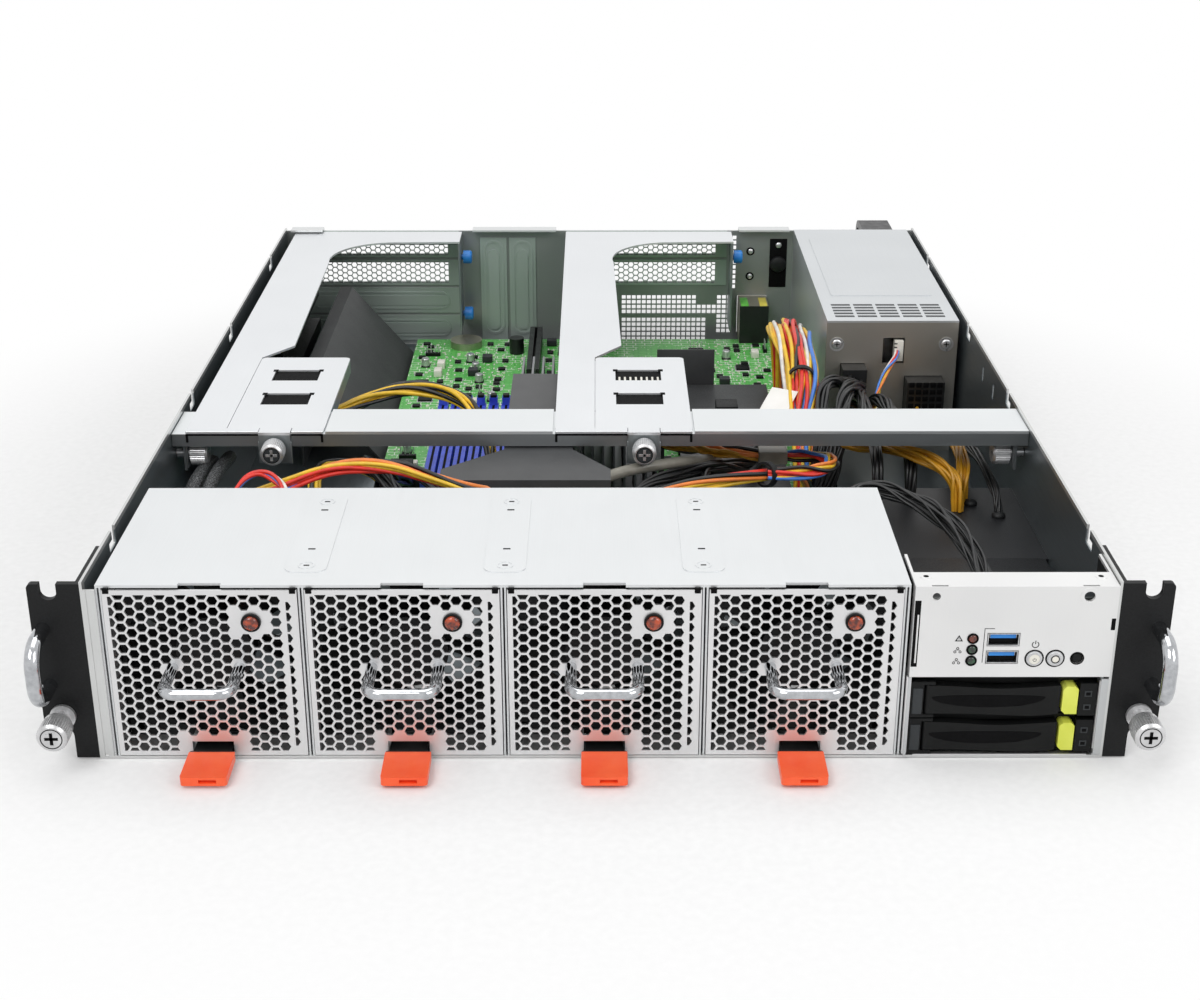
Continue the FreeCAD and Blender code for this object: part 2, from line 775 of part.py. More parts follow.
def panel_button(name):
    """A round button with a flange behind the panel and a stem to its switch."""
    x, radius = button_places[name]
    sunk = 0.0 if radius > 3 else 1.0
    cap = -0.9 + sunk
    flange = sheet + seat_gap
    stem_end = usb_depth - button_travel - seat_gap
    wide = radius + button_flange
    profile = [(0, cap), (radius - 0.5, cap), (radius, cap + 0.5), (radius, flange), (wide, flange),
               (wide, flange + 1.2), (1.2, flange + 1.2), (1.2, stem_end), (0, stem_end)]
    return knob((x, panel_face, button_z), (0, 1, 0), profile)


def drive_cage():
    """Sheet metal round the two bays, with a post on each side of the bay mouths."""
    left = bay_left - 0.8
    right = bay_left + bay_width + 0.8
    deep = front + tray_depth + 3.0
    low = sheet
    high = panel_low - seat_gap
    walls = [block((left - sheet, left), (front, deep), (low, high)),
             block((right, right + sheet), (front, deep), (low, high)),
             block((left - sheet, right + sheet), (front + 4, deep), (high - sheet, high))]
    posts = [block((left - sheet, left), (front - 1.5, front), (low, high)),
             block((right, inner - seat_gap), (front - 1.5, front), (low + 1, high - 1))]
    middle = (tray_places[0] + tray_height + tray_places[1]) / 2
    rails = []
    for edge in ((left, left + 3.0), (right - 3.0, right)):
        rails.append(block(edge, (front + bezel_depth + 6, front + tray_depth - 1), (middle - 0.15, middle + 0.15)))
    return join(walls + posts + rails)


def drive_tray(low):
    """A carrier: bezel frame in front, then a floor and two side rails."""
    x0 = bay_left
    x1 = bay_left + bay_width
    high = low + tray_height
    y0 = front + drive_lever_thickness + 0.6
    deep = front + tray_depth
    bezel = block((x0, x1), (y0, y0 + bezel_depth), (low, high))
    bezel = bezel.cut(block((x0 + 12, x1 - 20), (y0 - 1, y0 + bezel_depth + 1), (low + 3, high - 3)))
    floor = block((x0, x1), (y0, deep), (low, low + tray_wall))
    rails = [block((x0, x0 + tray_wall), (y0, deep), (low, high - 4)),
             block((x1 - tray_wall, x1), (y0, deep), (low, high - 4))]
    column = block((x1 - lamp_column, x1), (front, y0 + 1), (low + 0.8, high - 0.8))
    hinge_end = x0 + lever_hinge_inset
    cheek = block((x0, hinge_end - 2.6), (front, y0 + 1), (low + 0.8, high - 0.8))
    pin_y = front + drive_lever_thickness / 2
    pin = rod((hinge_end, pin_y, low), (0, 0, 1), drive_pin_radius, tray_height)
    shelves = [block((x0, hinge_end + 2.2), (front, y0 + 1), (low, low + 1.4)),
               block((x0, hinge_end + 2.2), (front, y0 + 1), (high - 1.4, high))]
    tray = join([bezel, floor, column, cheek, pin] + rails + shelves)
    latch_x1 = x1 - lamp_column - 0.4
    pocket = block((latch_x1 - latch_width, latch_x1), (y0 - 1, y0 + 3.0), (low + 1.6, high - 1.6))
    return tray.cut(pocket)


def lens(x, upper, lower, y):
    """A standing outline between two wavy curves with straight ends."""
    step = (x[1] - x[0]) / (len(upper) - 1)
    curves = []
    for heights in (upper, lower):
        curve = Part.BSplineCurve()
        curve.interpolate([V(x[0] + k * step, y, z) for k, z in enumerate(heights)])
        curves.append(curve.toShape())
    for k in (0, -1):
        end = x[0] if k == 0 else x[1]
        curves.append(Part.LineSegment(V(end, y, upper[k]), V(end, y, lower[k])).toShape())
    return Part.Wire(Part.__sortEdges__(curves))


def drive_lever(low):
    """The swing-out pull with a wavy finger opening."""
    x0 = bay_left + lever_hinge_inset
    x1 = bay_left + bay_width - lamp_column - latch_width - 1.2
    z0 = low + 1.8
    z1 = low + tray_height - 1.8
    t = drive_lever_thickness
    pin_y = front + t / 2
    knuckle = rod((x0, pin_y, z0), (0, 0, 1), t / 2, z1 - z0)
    mid = (z0 + z1) / 2
    outer = lens((x0, x1), [z1 + d for d in pull_wave], [z0 + d for d in pull_sag], front)
    grip = (x0 + pull_post, x1 - pull_post)
    opening = lens(grip, [mid + d for d in grip_top], [mid + d for d in grip_bottom], front)
    body = pierced(outer, [opening], (0, t, 0))
    bore = rod((x0, pin_y, low), (0, 0, 1), drive_pin_radius + screw_running_gap, tray_height)
    return join([body, knuckle]).cut(bore)


def drive_latch(low):
    """The bright release button beside the pull."""
    x1 = bay_left + bay_width - lamp_column - 0.7
    x0 = x1 - latch_width + 0.6
    y0 = front - 0.6
    deep = front + drive_lever_thickness + 1.8
    z0 = low + 1.9
    z1 = low + tray_height - 1.9
    chamfer = 1.6
    outline = upright([(x0 + chamfer, z0), (x1, z0), (x1, z1 - chamfer), (x1 - chamfer, z1), (x0 + chamfer, z1),
                       (x0, z1 - chamfer), (x0, z0 + chamfer)], y0)
    return Part.Face(outline).extrude(V(0, deep - y0, 0))


# Crossbar, riser cages

def crossbar():
    y = front + bar_setback
    rear = y + bar_depth
    low = bar_top - bar_step - bar_drop
    reach = inner - seat_gap
    web = bar_top - bar_step
    top = block((-reach, reach), (y, rear), (web - sheet, web))
    lips = [block((-reach, reach), (y, y + sheet), (low, web)),
            block((-reach, reach), (rear - sheet, rear), (low, web))]
    covers = []
    first = riser_left + riser_box_left + riser_box_width + 1.0
    second = riser_left + riser_offset - 1.0
    third = first + riser_offset
    for x in ((first, second), (third, reach)):
        covers.append(block(x, (y, rear), (web, bar_top)))
    tabs = []
    for s in (-1, 1):
        x = sorted((s * (inner - bar_tab_inset), s * (inner - bar_tab_inset - sheet)))
        tabs.append(block(x, (y + 2, y + 16), (bar_screw_z - 7, web)))
    bar = join([top] + lips + covers + tabs)
    hole = rod((-half, y + 9, bar_screw_z), (1, 0, 0), screw_shank / 2 + screw_running_gap, chassis_width)
    return bar.cut(hole)


def bar_thumbscrew(side):
    """A grip inside the end tab, its stud reaching to the chassis wall."""
    y = front + bar_setback + 9
    wall = inner - seat_gap
    tab_face = inner - bar_tab_inset - sheet - seat_gap
    shank = screw_shank / 2
    grip = bar_screw_head / 2
    start = wall - tab_face
    profile = [(0, 0), (shank, 0), (shank, start), (shank + 1.4, start), (shank + 1.4, start + 1.5),
               (grip, start + 1.5), (grip, start + bar_screw_length - 1), (grip - 1, start + bar_screw_length),
               (0, start + bar_screw_length)]
    screw = knob((side * wall, y, bar_screw_z), (-side, 0, 0), profile)
    end = side * (wall - start - bar_screw_length)
    return screw.cut(cross_recess((end, y, bar_screw_z), (-side, 0, 0), 5.0, 1.8))


def riser_cage(shift):
    """A cage: band along the left, arch at the rear, card power box in front with two windows."""
    x0 = riser_left + shift
    y_front = front + riser_front
    y_back = back - sheet - cover_thickness - 2.0
    box_x0 = x0 + riser_box_left
    box_x1 = box_x0 + riser_box_width
    z = riser_top - sheet
    band = x0 + riser_band
    right = x0 + riser_width
    knee = front + riser_knee
    arch = front + riser_arch
    arch_end = y_back - riser_back_band
    box_back = front + riser_box_back
    seam = box_x0 - riser_seam
    points = [V(x0, y_front, z), V(seam, y_front, z), V(seam, box_back, z), V(band + 3.0, knee, z), V(band, arch, z)]
    bend = V(band + 12.0, arch_end - 12.0, z)
    sweep = V(band + 34.0, arch_end - 1.5, z)
    rest = [V(right, arch_end, z), V(right, y_back, z), V(x0, y_back, z)]
    edges = [Part.LineSegment(a, b).toShape() for a, b in zip(points, points[1:])]
    edges.append(Part.Arc(points[-1], bend, sweep).toShape())
    tail = [sweep] + rest + [points[0]]
    edges += [Part.LineSegment(a, b).toShape() for a, b in zip(tail, tail[1:])]
    outline = Part.Wire(edges)
    band_sheet = pierced(outline, [], (0, 0, sheet))
    plate = block((box_x0, box_x1), (y_front, box_back), (z, riser_top))
    plate = eased(plate, riser_corner, (0, 0, 1), lambda c: c.y > y_front + 1)
    window_x = (box_x0 + riser_window_inset, box_x0 + riser_window_inset + riser_window_width)
    for y in riser_windows:
        plate = plate.cut(block(window_x, (front + y, front + y + riser_window_depth), (z - 1, riser_top + 1)))
    bar_rear = front + bar_setback + bar_depth + 1.0
    over_board = x0 > board_left
    wall_start = front + riser_wall_setback if over_board else bar_rear
    wall = block((x0, x0 + sheet), (wall_start, y_back), (board_top if over_board else sheet, z))
    skirt = riser_top - riser_skirt
    box_end = box_back - riser_corner
    box_side = block((box_x1 - sheet, box_x1), (bar_rear, box_end), (skirt, z))
    box_rear = block((box_x0 + riser_corner, box_x1 - riser_corner), (box_back - sheet, box_back), (skirt, z))
    flange = block((seam - 6.0, box_x0 + sheet), (bar_rear, box_end), (z - sheet, z))
    rear_wall = block((x0, right), (y_back - sheet, y_back), (riser_top - 9.0, z))
    bracket = block((right - sheet, right), (y_back - 26, y_back), (riser_bracket_low, z))
    tab_x = (box_x0 + box_x1) / 2
    tab_y = front + bar_setback - sheet - seat_gap
    wide = (tab_x - riser_tab / 2, tab_x + riser_tab / 2)
    tongue = block(wide, (tab_y, y_front + 1), (z, riser_top))
    tab = block(wide, (tab_y, tab_y + sheet), (riser_screw_z - 7, riser_top))
    tab = eased(tab, riser_corner, (0, 1, 0), lambda c: c.z < riser_screw_z)
    band_piece = join([band_sheet, wall, rear_wall, bracket])
    box_piece = join([plate, box_side, box_rear, flange, tongue, tab])
    hole = rod((tab_x, tab_y - 1, riser_screw_z), (0, 1, 0), screw_shank / 2 + screw_running_gap, sheet + 2)
    return [band_piece, box_piece.cut(hole)]


def riser_thumbscrew(shift):
    """A grip in front of the cage's tab, its stud ending at the crossbar."""
    x = riser_left + shift + riser_box_left + riser_box_width / 2
    stop = front + bar_setback - seat_gap / 2
    start = seat_gap / 2 + sheet + seat_gap
    shank = screw_shank / 2
    grip = riser_screw_head / 2
    profile = [(0, 0), (shank, 0), (shank, start), (shank + 1.6, start), (shank + 1.6, start + 1.5),
               (grip, start + 1.5), (grip, start + 10.0), (grip - 1, start + 11.0), (0, start + 11.0)]
    screw = knob((x, stop, riser_screw_z), (0, -1, 0), profile)
    return screw.cut(cross_recess((x, stop - start - 11.0, riser_screw_z), (0, -1, 0), 5.0, 1.8))


def card_thumbscrew(shift, z):
    """A small coloured knob that clamps a card bracket."""
    x = riser_left + shift + riser_width + seat_gap
    y = back - sheet - cover_thickness - 14.0
    head = card_screw_head / 2
    profile = [(0, 0), (2.0, 0), (2.0, 1.2), (head, 1.2), (head, card_screw_length - 0.8),
               (head - 0.8, card_screw_length), (0, card_screw_length)]
    return knob((x, y, z), (1, 0, 0), profile)


# Rear panel

def slot_heights(count):
    return [slot_top_z - k * slot_pitch for k in range(count)]


def rear_panel():
    y = back - sheet
    outline = rectangle((-inner, inner), (sheet, wall_height - 1.5), y)
    holes = []
    for shift, count in ((0.0, 4), (riser_offset, 2)):
        x0 = riser_left + shift + 5.0
        for z in slot_heights(count):
            holes.append(rectangle((x0, x0 + cover_length - 9.0), (z - slot_window / 2, z + slot_window / 2), y))
    for k in range(2):
        x = centre_cover_x + k * slot_pitch
        window = (centre_cover_low + 6, centre_cover_high - 8)
        holes.append(rectangle((x - slot_window / 2, x + slot_window / 2), window, y))
    for x0, columns, z0, rows in square_fields:
        for i in range(columns):
            for j in range(rows):
                x = x0 + i * square_pitch
                z = z0 + j * square_pitch
                holes.append(rectangle((x, x + square_hole), (z, z + square_hole), y))
    x, z0, rows = bracket_holes
    for j in range(rows):
        z = z0 + j * square_pitch
        holes.append(rectangle((x, x + square_hole), (z, z + square_hole), y))
    holes.append(rectangle((lan_left - seat_gap, lan_left + lan_width + seat_gap),
                           (board_top, board_top + lan_height + seat_gap), y))
    panel = pierced(outline, holes, (0, sheet, 0))
    supplies = sheet + seat_gap + 2 * psu_module_height + psu_gap
    bay = block((psu_left + psu_sheet, psu_left + psu_width - psu_sheet), (y - 1, back + 1),
                (sheet, supplies + seat_gap))
    panel = panel.cut(bay)
    tabs = []
    for x in ((-inner + 4, -inner + 26), (-88, -30), (97, 132)):
        tabs.append(block(x, (back - sheet - 8, back), (rear_tab_top - sheet, rear_tab_top)))
        tabs.append(block(x, (y, back), (wall_height - 1.5, rear_tab_top)))
    return join([panel] + tabs)


def vented_cover(x0, z):
    """A card slot cover with rows of hexagonal vents."""
    y = back - sheet - cover_thickness
    low = z - cover_width / 2
    outline = rectangle((x0, x0 + cover_length), (low, low + cover_width), y)
    reach = vent_rows * vent_pitch / 2
    span = (x0 + vent_pitch, x0 + cover_length - 2 * vent_pitch)
    holes = hex_field(span[0], span, (z - reach, z + reach), y, vent_pitch, vent_web, [])
    return pierced(outline, holes, (0, cover_thickness, 0))


def plain_cover(x, z):
    """A blank slot cover with a raised rib along it."""
    y = back - sheet - cover_thickness
    plate = block(x, (y, back - sheet), z)
    middle = ((x[0] + x[1]) / 2, (z[0] + z[1]) / 2)
    if x[1] - x[0] > z[1] - z[0]:
        outline = stadium((x[0] + rib_inset, x[1] - rib_inset), (middle[1], middle[1]), y, rib_width)
    else:
        outline = stadium((middle[0], middle[0]), (z[0] + rib_inset, z[1] - rib_inset), y, rib_width)
    rib = Part.Face(outline).extrude(V(0, -rib_rise, 0))
    return join([plate, rib])


def slot_covers():
    covers = []
    heights = slot_heights(4)
    x0 = riser_left + 0.5
    for z in heights[:2]:
        covers.append(vented_cover(x0, z))
        covers.append(vented_cover(x0 + riser_offset, z))
    for z in heights[2:]:
        covers.append(plain_cover((x0, x0 + cover_length), (z - cover_width / 2, z + cover_width / 2)))
    for k in range(2):
        x = centre_cover_x + k * slot_pitch
        covers.append(plain_cover((x - cover_width / 2, x + cover_width / 2), (centre_cover_low, centre_cover_high)))
    return covers


# Power supplies

def psu_cage():
    x0 = psu_left
    x1 = psu_left + psu_width
    y0 = front + psu_setback
    y1 = back - sheet
    top = block((x0, x1), (y0, y1), (psu_top - psu_sheet, psu_top))
    sides = [block((x0, x0 + psu_sheet), (y0, y1), (sheet, psu_top)),
             block((x1 - psu_sheet, x1), (y0, y1), (sheet, psu_top))]
    face = block((x0, x1), (y0, y0 + psu_sheet), (sheet, psu_top))
    windows = [block((x0 + x[0], x0 + x[1]), (y0 - 1, y0 + 3), z) for x, z in psu_windows]
    slots = []
    for i in range(5):
        for j in range(5):
            x = x0 + 6.0 + i * (louvre_width + 2.6)
            y = y0 + 8.0 + j * (louvre_height + 3.6)
            slots.append(block((x, x + louvre_width), (y, y + louvre_height), (psu_top - 3, psu_top + 1)))
    louvres_end = y0 + 8.0 + 5 * (louvre_height + 3.6)
    raised = block((x0 + 8, x1 - 8), (louvres_end + 14, y1 - 24), (psu_top, psu_top + psu_panel_rise))
    raised = eased(raised, 2.0, (0, 0, 1), lambda c: True)
    return join([top, face, raised] + sides).cut(Part.makeCompound(windows + slots))


def psu_module(k):
    """A slide-in supply: case, inlet recess, fan grille and pull handle at its rear."""
    middle = psu_left + psu_width / 2
    x0 = middle - psu_module_width / 2
    x1 = middle + psu_module_width / 2
    low = sheet + seat_gap + k * (psu_module_height + psu_gap)
    high = low + psu_module_height
    y1 = back + 2.0
    y0 = y1 - psu_module_depth
    case = block((x0, x1), (y0, y1), (low, high))
    inlet = block((x0 + 5, x0 + 33), (y1 - 14, y1 + 1), (low + 9, low + 31))
    pins = block((x0 + 14, x0 + 24), (y1 - 16, y1 - 4), (low + 18, low + 22))
    fan = rod((x1 - 20, y1 - 6, low + 20), (0, 1, 0), 16.0, 8.0)
    hub = rod((x1 - 20, y1 - 8, low + 20), (0, 1, 0), 7.0, 7.0)
    wide = (x0 + psu_handle_left, x0 + psu_handle_left + psu_handle_width)
    reach = y1 + psu_handle_reach
    tall = (low + psu_handle_low, high)
    t = psu_handle_strap
    loop = block(wide, (y1 - 1, reach), tall)
    loop = eased(loop, psu_handle_bend, (1, 0, 0), lambda c: c.y > y1)
    room = block((wide[0] - 1, wide[1] + 1), (y1 - 2, reach - t), (tall[0] + t, tall[1] - t))
    room = eased(room, psu_handle_bend - t, (1, 0, 0), lambda c: c.y > y1)
    handle = loop.cut(room)
    return join([case.cut(inlet).cut(fan), pins, hub, handle])


# Main board

def motherboard():
    y0 = front + board_setback
    return block((board_left, board_right), (y0, y0 + board_depth), (board_low, board_top))


def memory_socket(x):
    y0 = front + memory_setback
    w = memory_width / 2
    body = block((x - w, x + w), (y0, y0 + memory_length), (board_top, board_top + 9.0))
    groove = block((x - 0.8, x + 0.8), (y0 + 5, y0 + memory_length - 5), (board_top + 4, board_top + 12))
    ends = [block((x - w + 0.6, x + w - 0.6), (y, y + 5.0), (board_top + 9.0, board_top + memory_height))
            for y in (y0, y0 + memory_length - 5.0)]
    return join([body.cut(groove)] + ends)


def card_socket(x, setback, length):
    y0 = front + setback
    body = block((x - 4.2, x + 4.2), (y0, y0 + length), (board_top, board_top + 11.0))
    return body.cut(block((x - 0.9, x + 0.9), (y0 + 2, y0 + length - 2), (board_top + 3, board_top + 12)))


def board_sockets():
    pieces = []
    for start in memory_groups:
        pieces += [memory_socket(start + k * memory_pitch) for k in range(memory_per_group)]
    pieces.append(card_socket(-44.0, 449.0, 89.0))
    pieces.append(card_socket(riser_left + riser_offset + 9.0, 415.0, 89.0))
    lan = block((lan_left, lan_left + lan_width), (back - 26, back - seat_gap), (board_top, board_top + lan_height))
    mouth = block((lan_left + 3, lan_left + lan_width - 3), (back - 14, back), (board_top + 3, board_top + 14))
    pieces.append(lan.cut(mouth))
    pieces.append(rod((-57.0, front + 514, board_top), (0, 0, 1), 5.0, 11.0))
    pieces.append(rod((-92.8, front + 528, board_top), (0, 0, 1), 11.0, 5.0))
    h = header_size / 2
    for x, y in power_headers:
        pieces.append(block((x - h, x + h), (y - h, y + h), (board_top, board_top + header_height)))
    plug_back = front + psu_setback
    for x, z in psu_windows[::2]:
        body = (psu_left + x[0] + seat_gap, psu_left + x[1] - seat_gap)
        tall = (z[0] + seat_gap, z[1] - seat_gap)
        pieces.append(block(body, (plug_back - psu_plug, plug_back + psu_sheet), tall))
    for shift in (0.0, riser_offset):
        x = riser_left + shift + riser_box_left
        for y in riser_windows:
            wide = (x + riser_window_inset - 1, x + riser_window_inset + riser_window_width + 1)
            deep = (front + y - 1, front + y + riser_window_depth + 1)
            pieces.append(block(wide, deep, (riser_top - sheet - card_plug, riser_top - sheet)))
    return pieces


def cpu_heatsink():
    """A finned heat sink on a square base plate."""
    x0 = sink_x - sink_width / 2
    y0 = front + sink_setback
    base = block((x0, x0 + sink_width), (y0, y0 + sink_depth), (board_top, board_top + 8))
    gap = (sink_width - fin_thickness) / (fin_count - 1)
    fins = [block((x0 + k * gap, x0 + k * gap + fin_thickness), (y0, y0 + sink_depth),
                  (board_top + 8, board_top + sink_height)) for k in range(fin_count)]
    return join([base] + fins)


def air_baffles():
    """The duct over the processor, the card-side guide sheet and the cable shelf by the drives."""
    left_wall = sink_x - sink_width / 2 - 4
    right_wall = sink_x + sink_width / 2 + 4
    nose = front + shroud_setback
    throat = front + bar_setback - 2
    bar_rear = front + bar_setback + bar_depth
    tail = front + shroud_end
    top = shroud_top - shroud_wall
    outline = [(left_wall - shroud_flare, nose), (right_wall - shroud_flare, nose),
               (right_wall - shroud_flare, nose + 14), (-14.0, throat), (-14.0, bar_rear + 8),
               (right_wall, bar_rear + 30), (right_wall, tail), (left_wall, tail), (left_wall, throat),
               (left_wall - shroud_flare, nose + 14)]
    roof = pierced(closed([(x, y, top) for x, y in outline]), [], (0, 0, shroud_wall))
    lip = block((left_wall - shroud_flare, right_wall - shroud_flare), (nose, nose + shroud_wall), (top - 6, top))
    board_front = front + board_setback
    walls = [block((left_wall, left_wall + shroud_wall), (board_front, tail), (board_top, top)),
             block((right_wall - shroud_wall, right_wall), (bar_rear + 30, tail), (board_top, top))]
    duct = join([roof, lip] + walls)
    left = riser_left + 40.0
    guide = closed([(left, front + 330, 52.0), (left, front + 330, 50.8), (board_left - 2, front + 330, 3.0),
                    (board_left - 2, front + 330, 4.2)])
    sheet_guide = Part.Face(guide).extrude(V(0, 200.0, 0))
    foot = block((left - 8, left + 0.1), (front + 330, front + 530), (50.8, 52.0))
    post = block((left - 8, left - 6.8), (front + 330, front + 530), (sheet, 52.0))
    guide_piece = join([sheet_guide, foot, post])
    shelf_x = (bay_left + bay_width + 0.8 + sheet, inner)
    shelf = block((fan_first_x + (fan_count - 0.5) * fan_pitch + divider, inner),
                  (front + tray_depth + 3.2, front + shelf_depth), (shelf_z - sheet, shelf_z))
    leg = block((shelf_x[1] - sheet, shelf_x[1]), (front + tray_depth + 3.2, front + shelf_depth), (sheet, shelf_z))
    return [duct, guide_piece, join([shelf, leg])]


def daughter_boards():
    """Two upright riser cards and the drive backplane."""
    cards = []
    for shift, low in ((0.0, sheet), (riser_offset, board_top + 11.0)):
        x = riser_left + shift + 8.2
        card = block((x, x + board_thickness), (front + 415, front + 504), (low, 70.0))
        card_slots = [block((x + board_thickness, x + board_thickness + 11), (front + 415, front + 504),
                            (z - 4.2, z + 4.2)) for z in (34.0, 58.0)]
        cards.append(join([card] + card_slots))
    y = front + tray_depth + 1.0
    backplane = block((bay_left, bay_left + bay_width), (y, y + board_thickness), (sheet + 1, panel_low - 3))
    return cards + [backplane]


# Wiring

def power_harness():
    header = board_top + header_height
    plug = riser_top - sheet - card_plug
    cage = cage_back
    left_loop = [(-202.0, cage, 74.0), (-202.0, cage + 13, 74.0), (-186.0, cage + 25, 73.0),
                 (-154.0, cage + 31, 72.0), (-122.0, cage + 35, 74.0), (-94.0, cage + 28, 73.0),
                 (-68.0, cage + 20, 72.0), (-51.0, cage + 12, 75.0), (-51.0, cage, 75.0)]
    left_feed = [(-112.0, 212.0, header), (-112.0, 212.0, 33.0), (-118.0, 200.0, 48.0), (-128.0, 182.0, 58.0),
                 (-136.0, 158.0, 62.0), (-135.0, 134.0, 56.0), (-126.4, cage + 16, 44.0), (-126.4, cage, 44.0)]
    card_feed = [(-57.5, 226.0, header), (-57.5, 226.0, 33.0), (-60.0, 242.0, 50.0), (-68.0, 268.0, 59.0),
                 (-86.0, 290.0, 62.0), (-110.0, 298.0, 62.0), (-132.0, 291.0, 58.0), (-150.0, 274.0, 54.0),
                 (-160.5, 257.5, 60.0), (-160.5, 257.5, plug)]
    main_loop = [(118.0, 408.0, header), (118.0, 408.0, 38.0), (116.0, 396.0, 57.0), (114.0, 370.0, 70.0),
                 (115.0, 338.0, 74.0), (116.0, 306.0, 71.0), (114.0, 276.0, 61.0), (112.0, 252.0, 50.0),
                 (112.0, 233.0, 35.0), (112.0, 233.0, header)]
    fan_feed = [(112.0, 212.0, header), (112.0, 212.0, 33.0), (108.0, 200.0, 47.0), (99.0, 180.0, 59.0),
                (86.0, 160.0, 65.0), (62.0, 146.0, 67.0), (34.0, 137.0, 65.0), (6.0, 127.0, 60.0),
                (-20.0, 121.0, 53.0), (-41.2, cage + 16, 44.0), (-41.2, cage, 44.0)]
    return [cable("left_loop", left_loop, 8.0), cable("left_feed", left_feed, 8.0),
            cable("card_feed", card_feed, 9.0), cable("main_loop", main_loop, 11.0),
            cable("fan_feed", fan_feed, 7.0)]


def signal_harness():
    io_back = panel_face + usb_depth + board_thickness
    plug_face = front + psu_setback - psu_plug
    front_wires = [(120.0, cage_back, 75.0), (120.0, cage_back + 13, 75.0), (132.0, cage_back + 22, 73.0),
                   (150.0, cage_back + 16, 71.0), (163.0, cage_back - 4, 70.0), (170.0, cage_back - 32, 67.0),
                   (172.0, cage_back - 60, 63.0), (172.0, io_back + 14, 61.0), (172.0, io_back, 61.0)]
    supply_wires = [(152.0, plug_face, 42.0), (152.0, plug_face - 14, 42.0), (150.0, plug_face - 40, 46.0),
                    (147.0, plug_face - 70, 51.0), (145.0, plug_face - 100, 57.0), (144.0, plug_face - 128, 62.0),
                    (144.0, plug_face - 151, 60.0), (144.0, plug_face - 151, shelf_z)]
    drive_wires = [(188.0, front + 183.0, shelf_z), (188.0, front + 183.0, 54.0), (189.0, front + 198.0, 61.0),
                   (190.0, front + 222.0, 60.0), (191.0, front + 250.0, 53.0), (192.0, front + 278.0, 44.0),
                   (192.0, front + 304.0, 36.0), (191.0, front + 326.0, 32.0), (191.0, plug_face, 32.0)]
    return [cable("front_wires", front_wires, 9.0), cable("supply_wires", supply_wires, 8.0),
            cable("drive_wires", drive_wires, 8.0)]


os.makedirs("parts", exist_ok=True)

right_ear = rack_ear()
right_handle = ear_handle()
save("chassis_tray", [chassis_tray()])
save("rear_panel", [rear_panel()])
save("rack_ears", [right_ear, mirrored(right_ear)])
save("ear_handles", [right_handle, mirrored(right_handle)])
save("ear_thumbscrew_left", [ear_thumbscrew(-1)])
save("ear_thumbscrew_right", [ear_thumbscrew(1)])
save("fan_cage", [fan_cage()])
first_carrier = fan_carrier(fan_first_x) + [fan_lamp(fan_first_x)]
for number in range(1, fan_count + 1):
    centre = fan_first_x + (number - 1) * fan_pitch
    moved = V(centre - fan_first_x, 0, 0)
    save("fan_carrier_%d" % number, [piece.translated(moved) for piece in first_carrier])
    save("fan_frame_%d" % number, [fan_frame(centre)])
    save("fan_rotor_%d" % number, [fan_rotor(centre)])
    save("fan_handle_%d" % number, [fan_handle(centre)])
    save("fan_lever_%d" % number, [fan_lever(centre)])
save("control_panel", [control_panel()])
save("front_io_board", front_io_board())
for button in button_places:
    save(button + "_button", [panel_button(button)])
save("drive_cage", [drive_cage()])
for number, place in enumerate(tray_places, start=1):
    save("drive_tray_%d" % number, [drive_tray(place)])
    save("drive_lever_%d" % number, [drive_lever(place)])
    save("drive_latch_%d" % number, [drive_latch(place)])
save("crossbar", [crossbar()])
save("bar_thumbscrew_left", [bar_thumbscrew(-1)])
save("bar_thumbscrew_right", [bar_thumbscrew(1)])
for side, offset in (("left", 0.0), ("right", riser_offset)):
    save("riser_cage_" + side, riser_cage(offset))
    save("riser_thumbscrew_" + side, [riser_thumbscrew(offset)])
for number, (offset, slot) in enumerate(((0.0, 0), (0.0, 2), (riser_offset, 0)), start=1):
    save("card_thumbscrew_%d" % number, [card_thumbscrew(offset, slot_heights(4)[slot] - 5.0)])
save("slot_covers", slot_covers())
save("psu_cage", [psu_cage()])
for number in range(2):
    save("psu_module_%d" % (number + 1), [psu_module(number)])
save("motherboard", [motherboard()])
save("board_sockets", board_sockets())
save("cpu_heatsink", [cpu_heatsink()])
save("air_baffles", air_baffles())
save("daughter_boards", daughter_boards())
save("power_harness", power_harness())
save("signal_harness", signal_harness())
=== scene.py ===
import math
import random

import bpy
from mathutils import Matrix, Vector


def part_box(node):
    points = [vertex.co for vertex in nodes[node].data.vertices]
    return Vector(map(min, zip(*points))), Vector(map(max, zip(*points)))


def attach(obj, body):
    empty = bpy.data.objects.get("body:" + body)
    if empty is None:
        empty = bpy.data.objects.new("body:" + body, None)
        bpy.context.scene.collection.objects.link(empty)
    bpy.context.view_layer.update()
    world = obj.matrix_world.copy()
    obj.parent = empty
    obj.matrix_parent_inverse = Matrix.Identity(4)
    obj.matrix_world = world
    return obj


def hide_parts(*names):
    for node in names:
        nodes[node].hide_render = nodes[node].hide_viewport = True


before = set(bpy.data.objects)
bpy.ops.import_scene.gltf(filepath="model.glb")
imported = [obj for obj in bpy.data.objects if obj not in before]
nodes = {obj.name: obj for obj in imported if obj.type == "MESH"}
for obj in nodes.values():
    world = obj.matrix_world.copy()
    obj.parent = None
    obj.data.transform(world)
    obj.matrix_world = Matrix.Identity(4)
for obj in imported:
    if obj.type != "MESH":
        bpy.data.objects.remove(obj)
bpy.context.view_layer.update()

# A two unit rack server with its lid off. Blender works in metres, and sizes here are written in
# millimetres in the frame of the construction model: x to the right, y to the rear, z up.

MM = 0.001

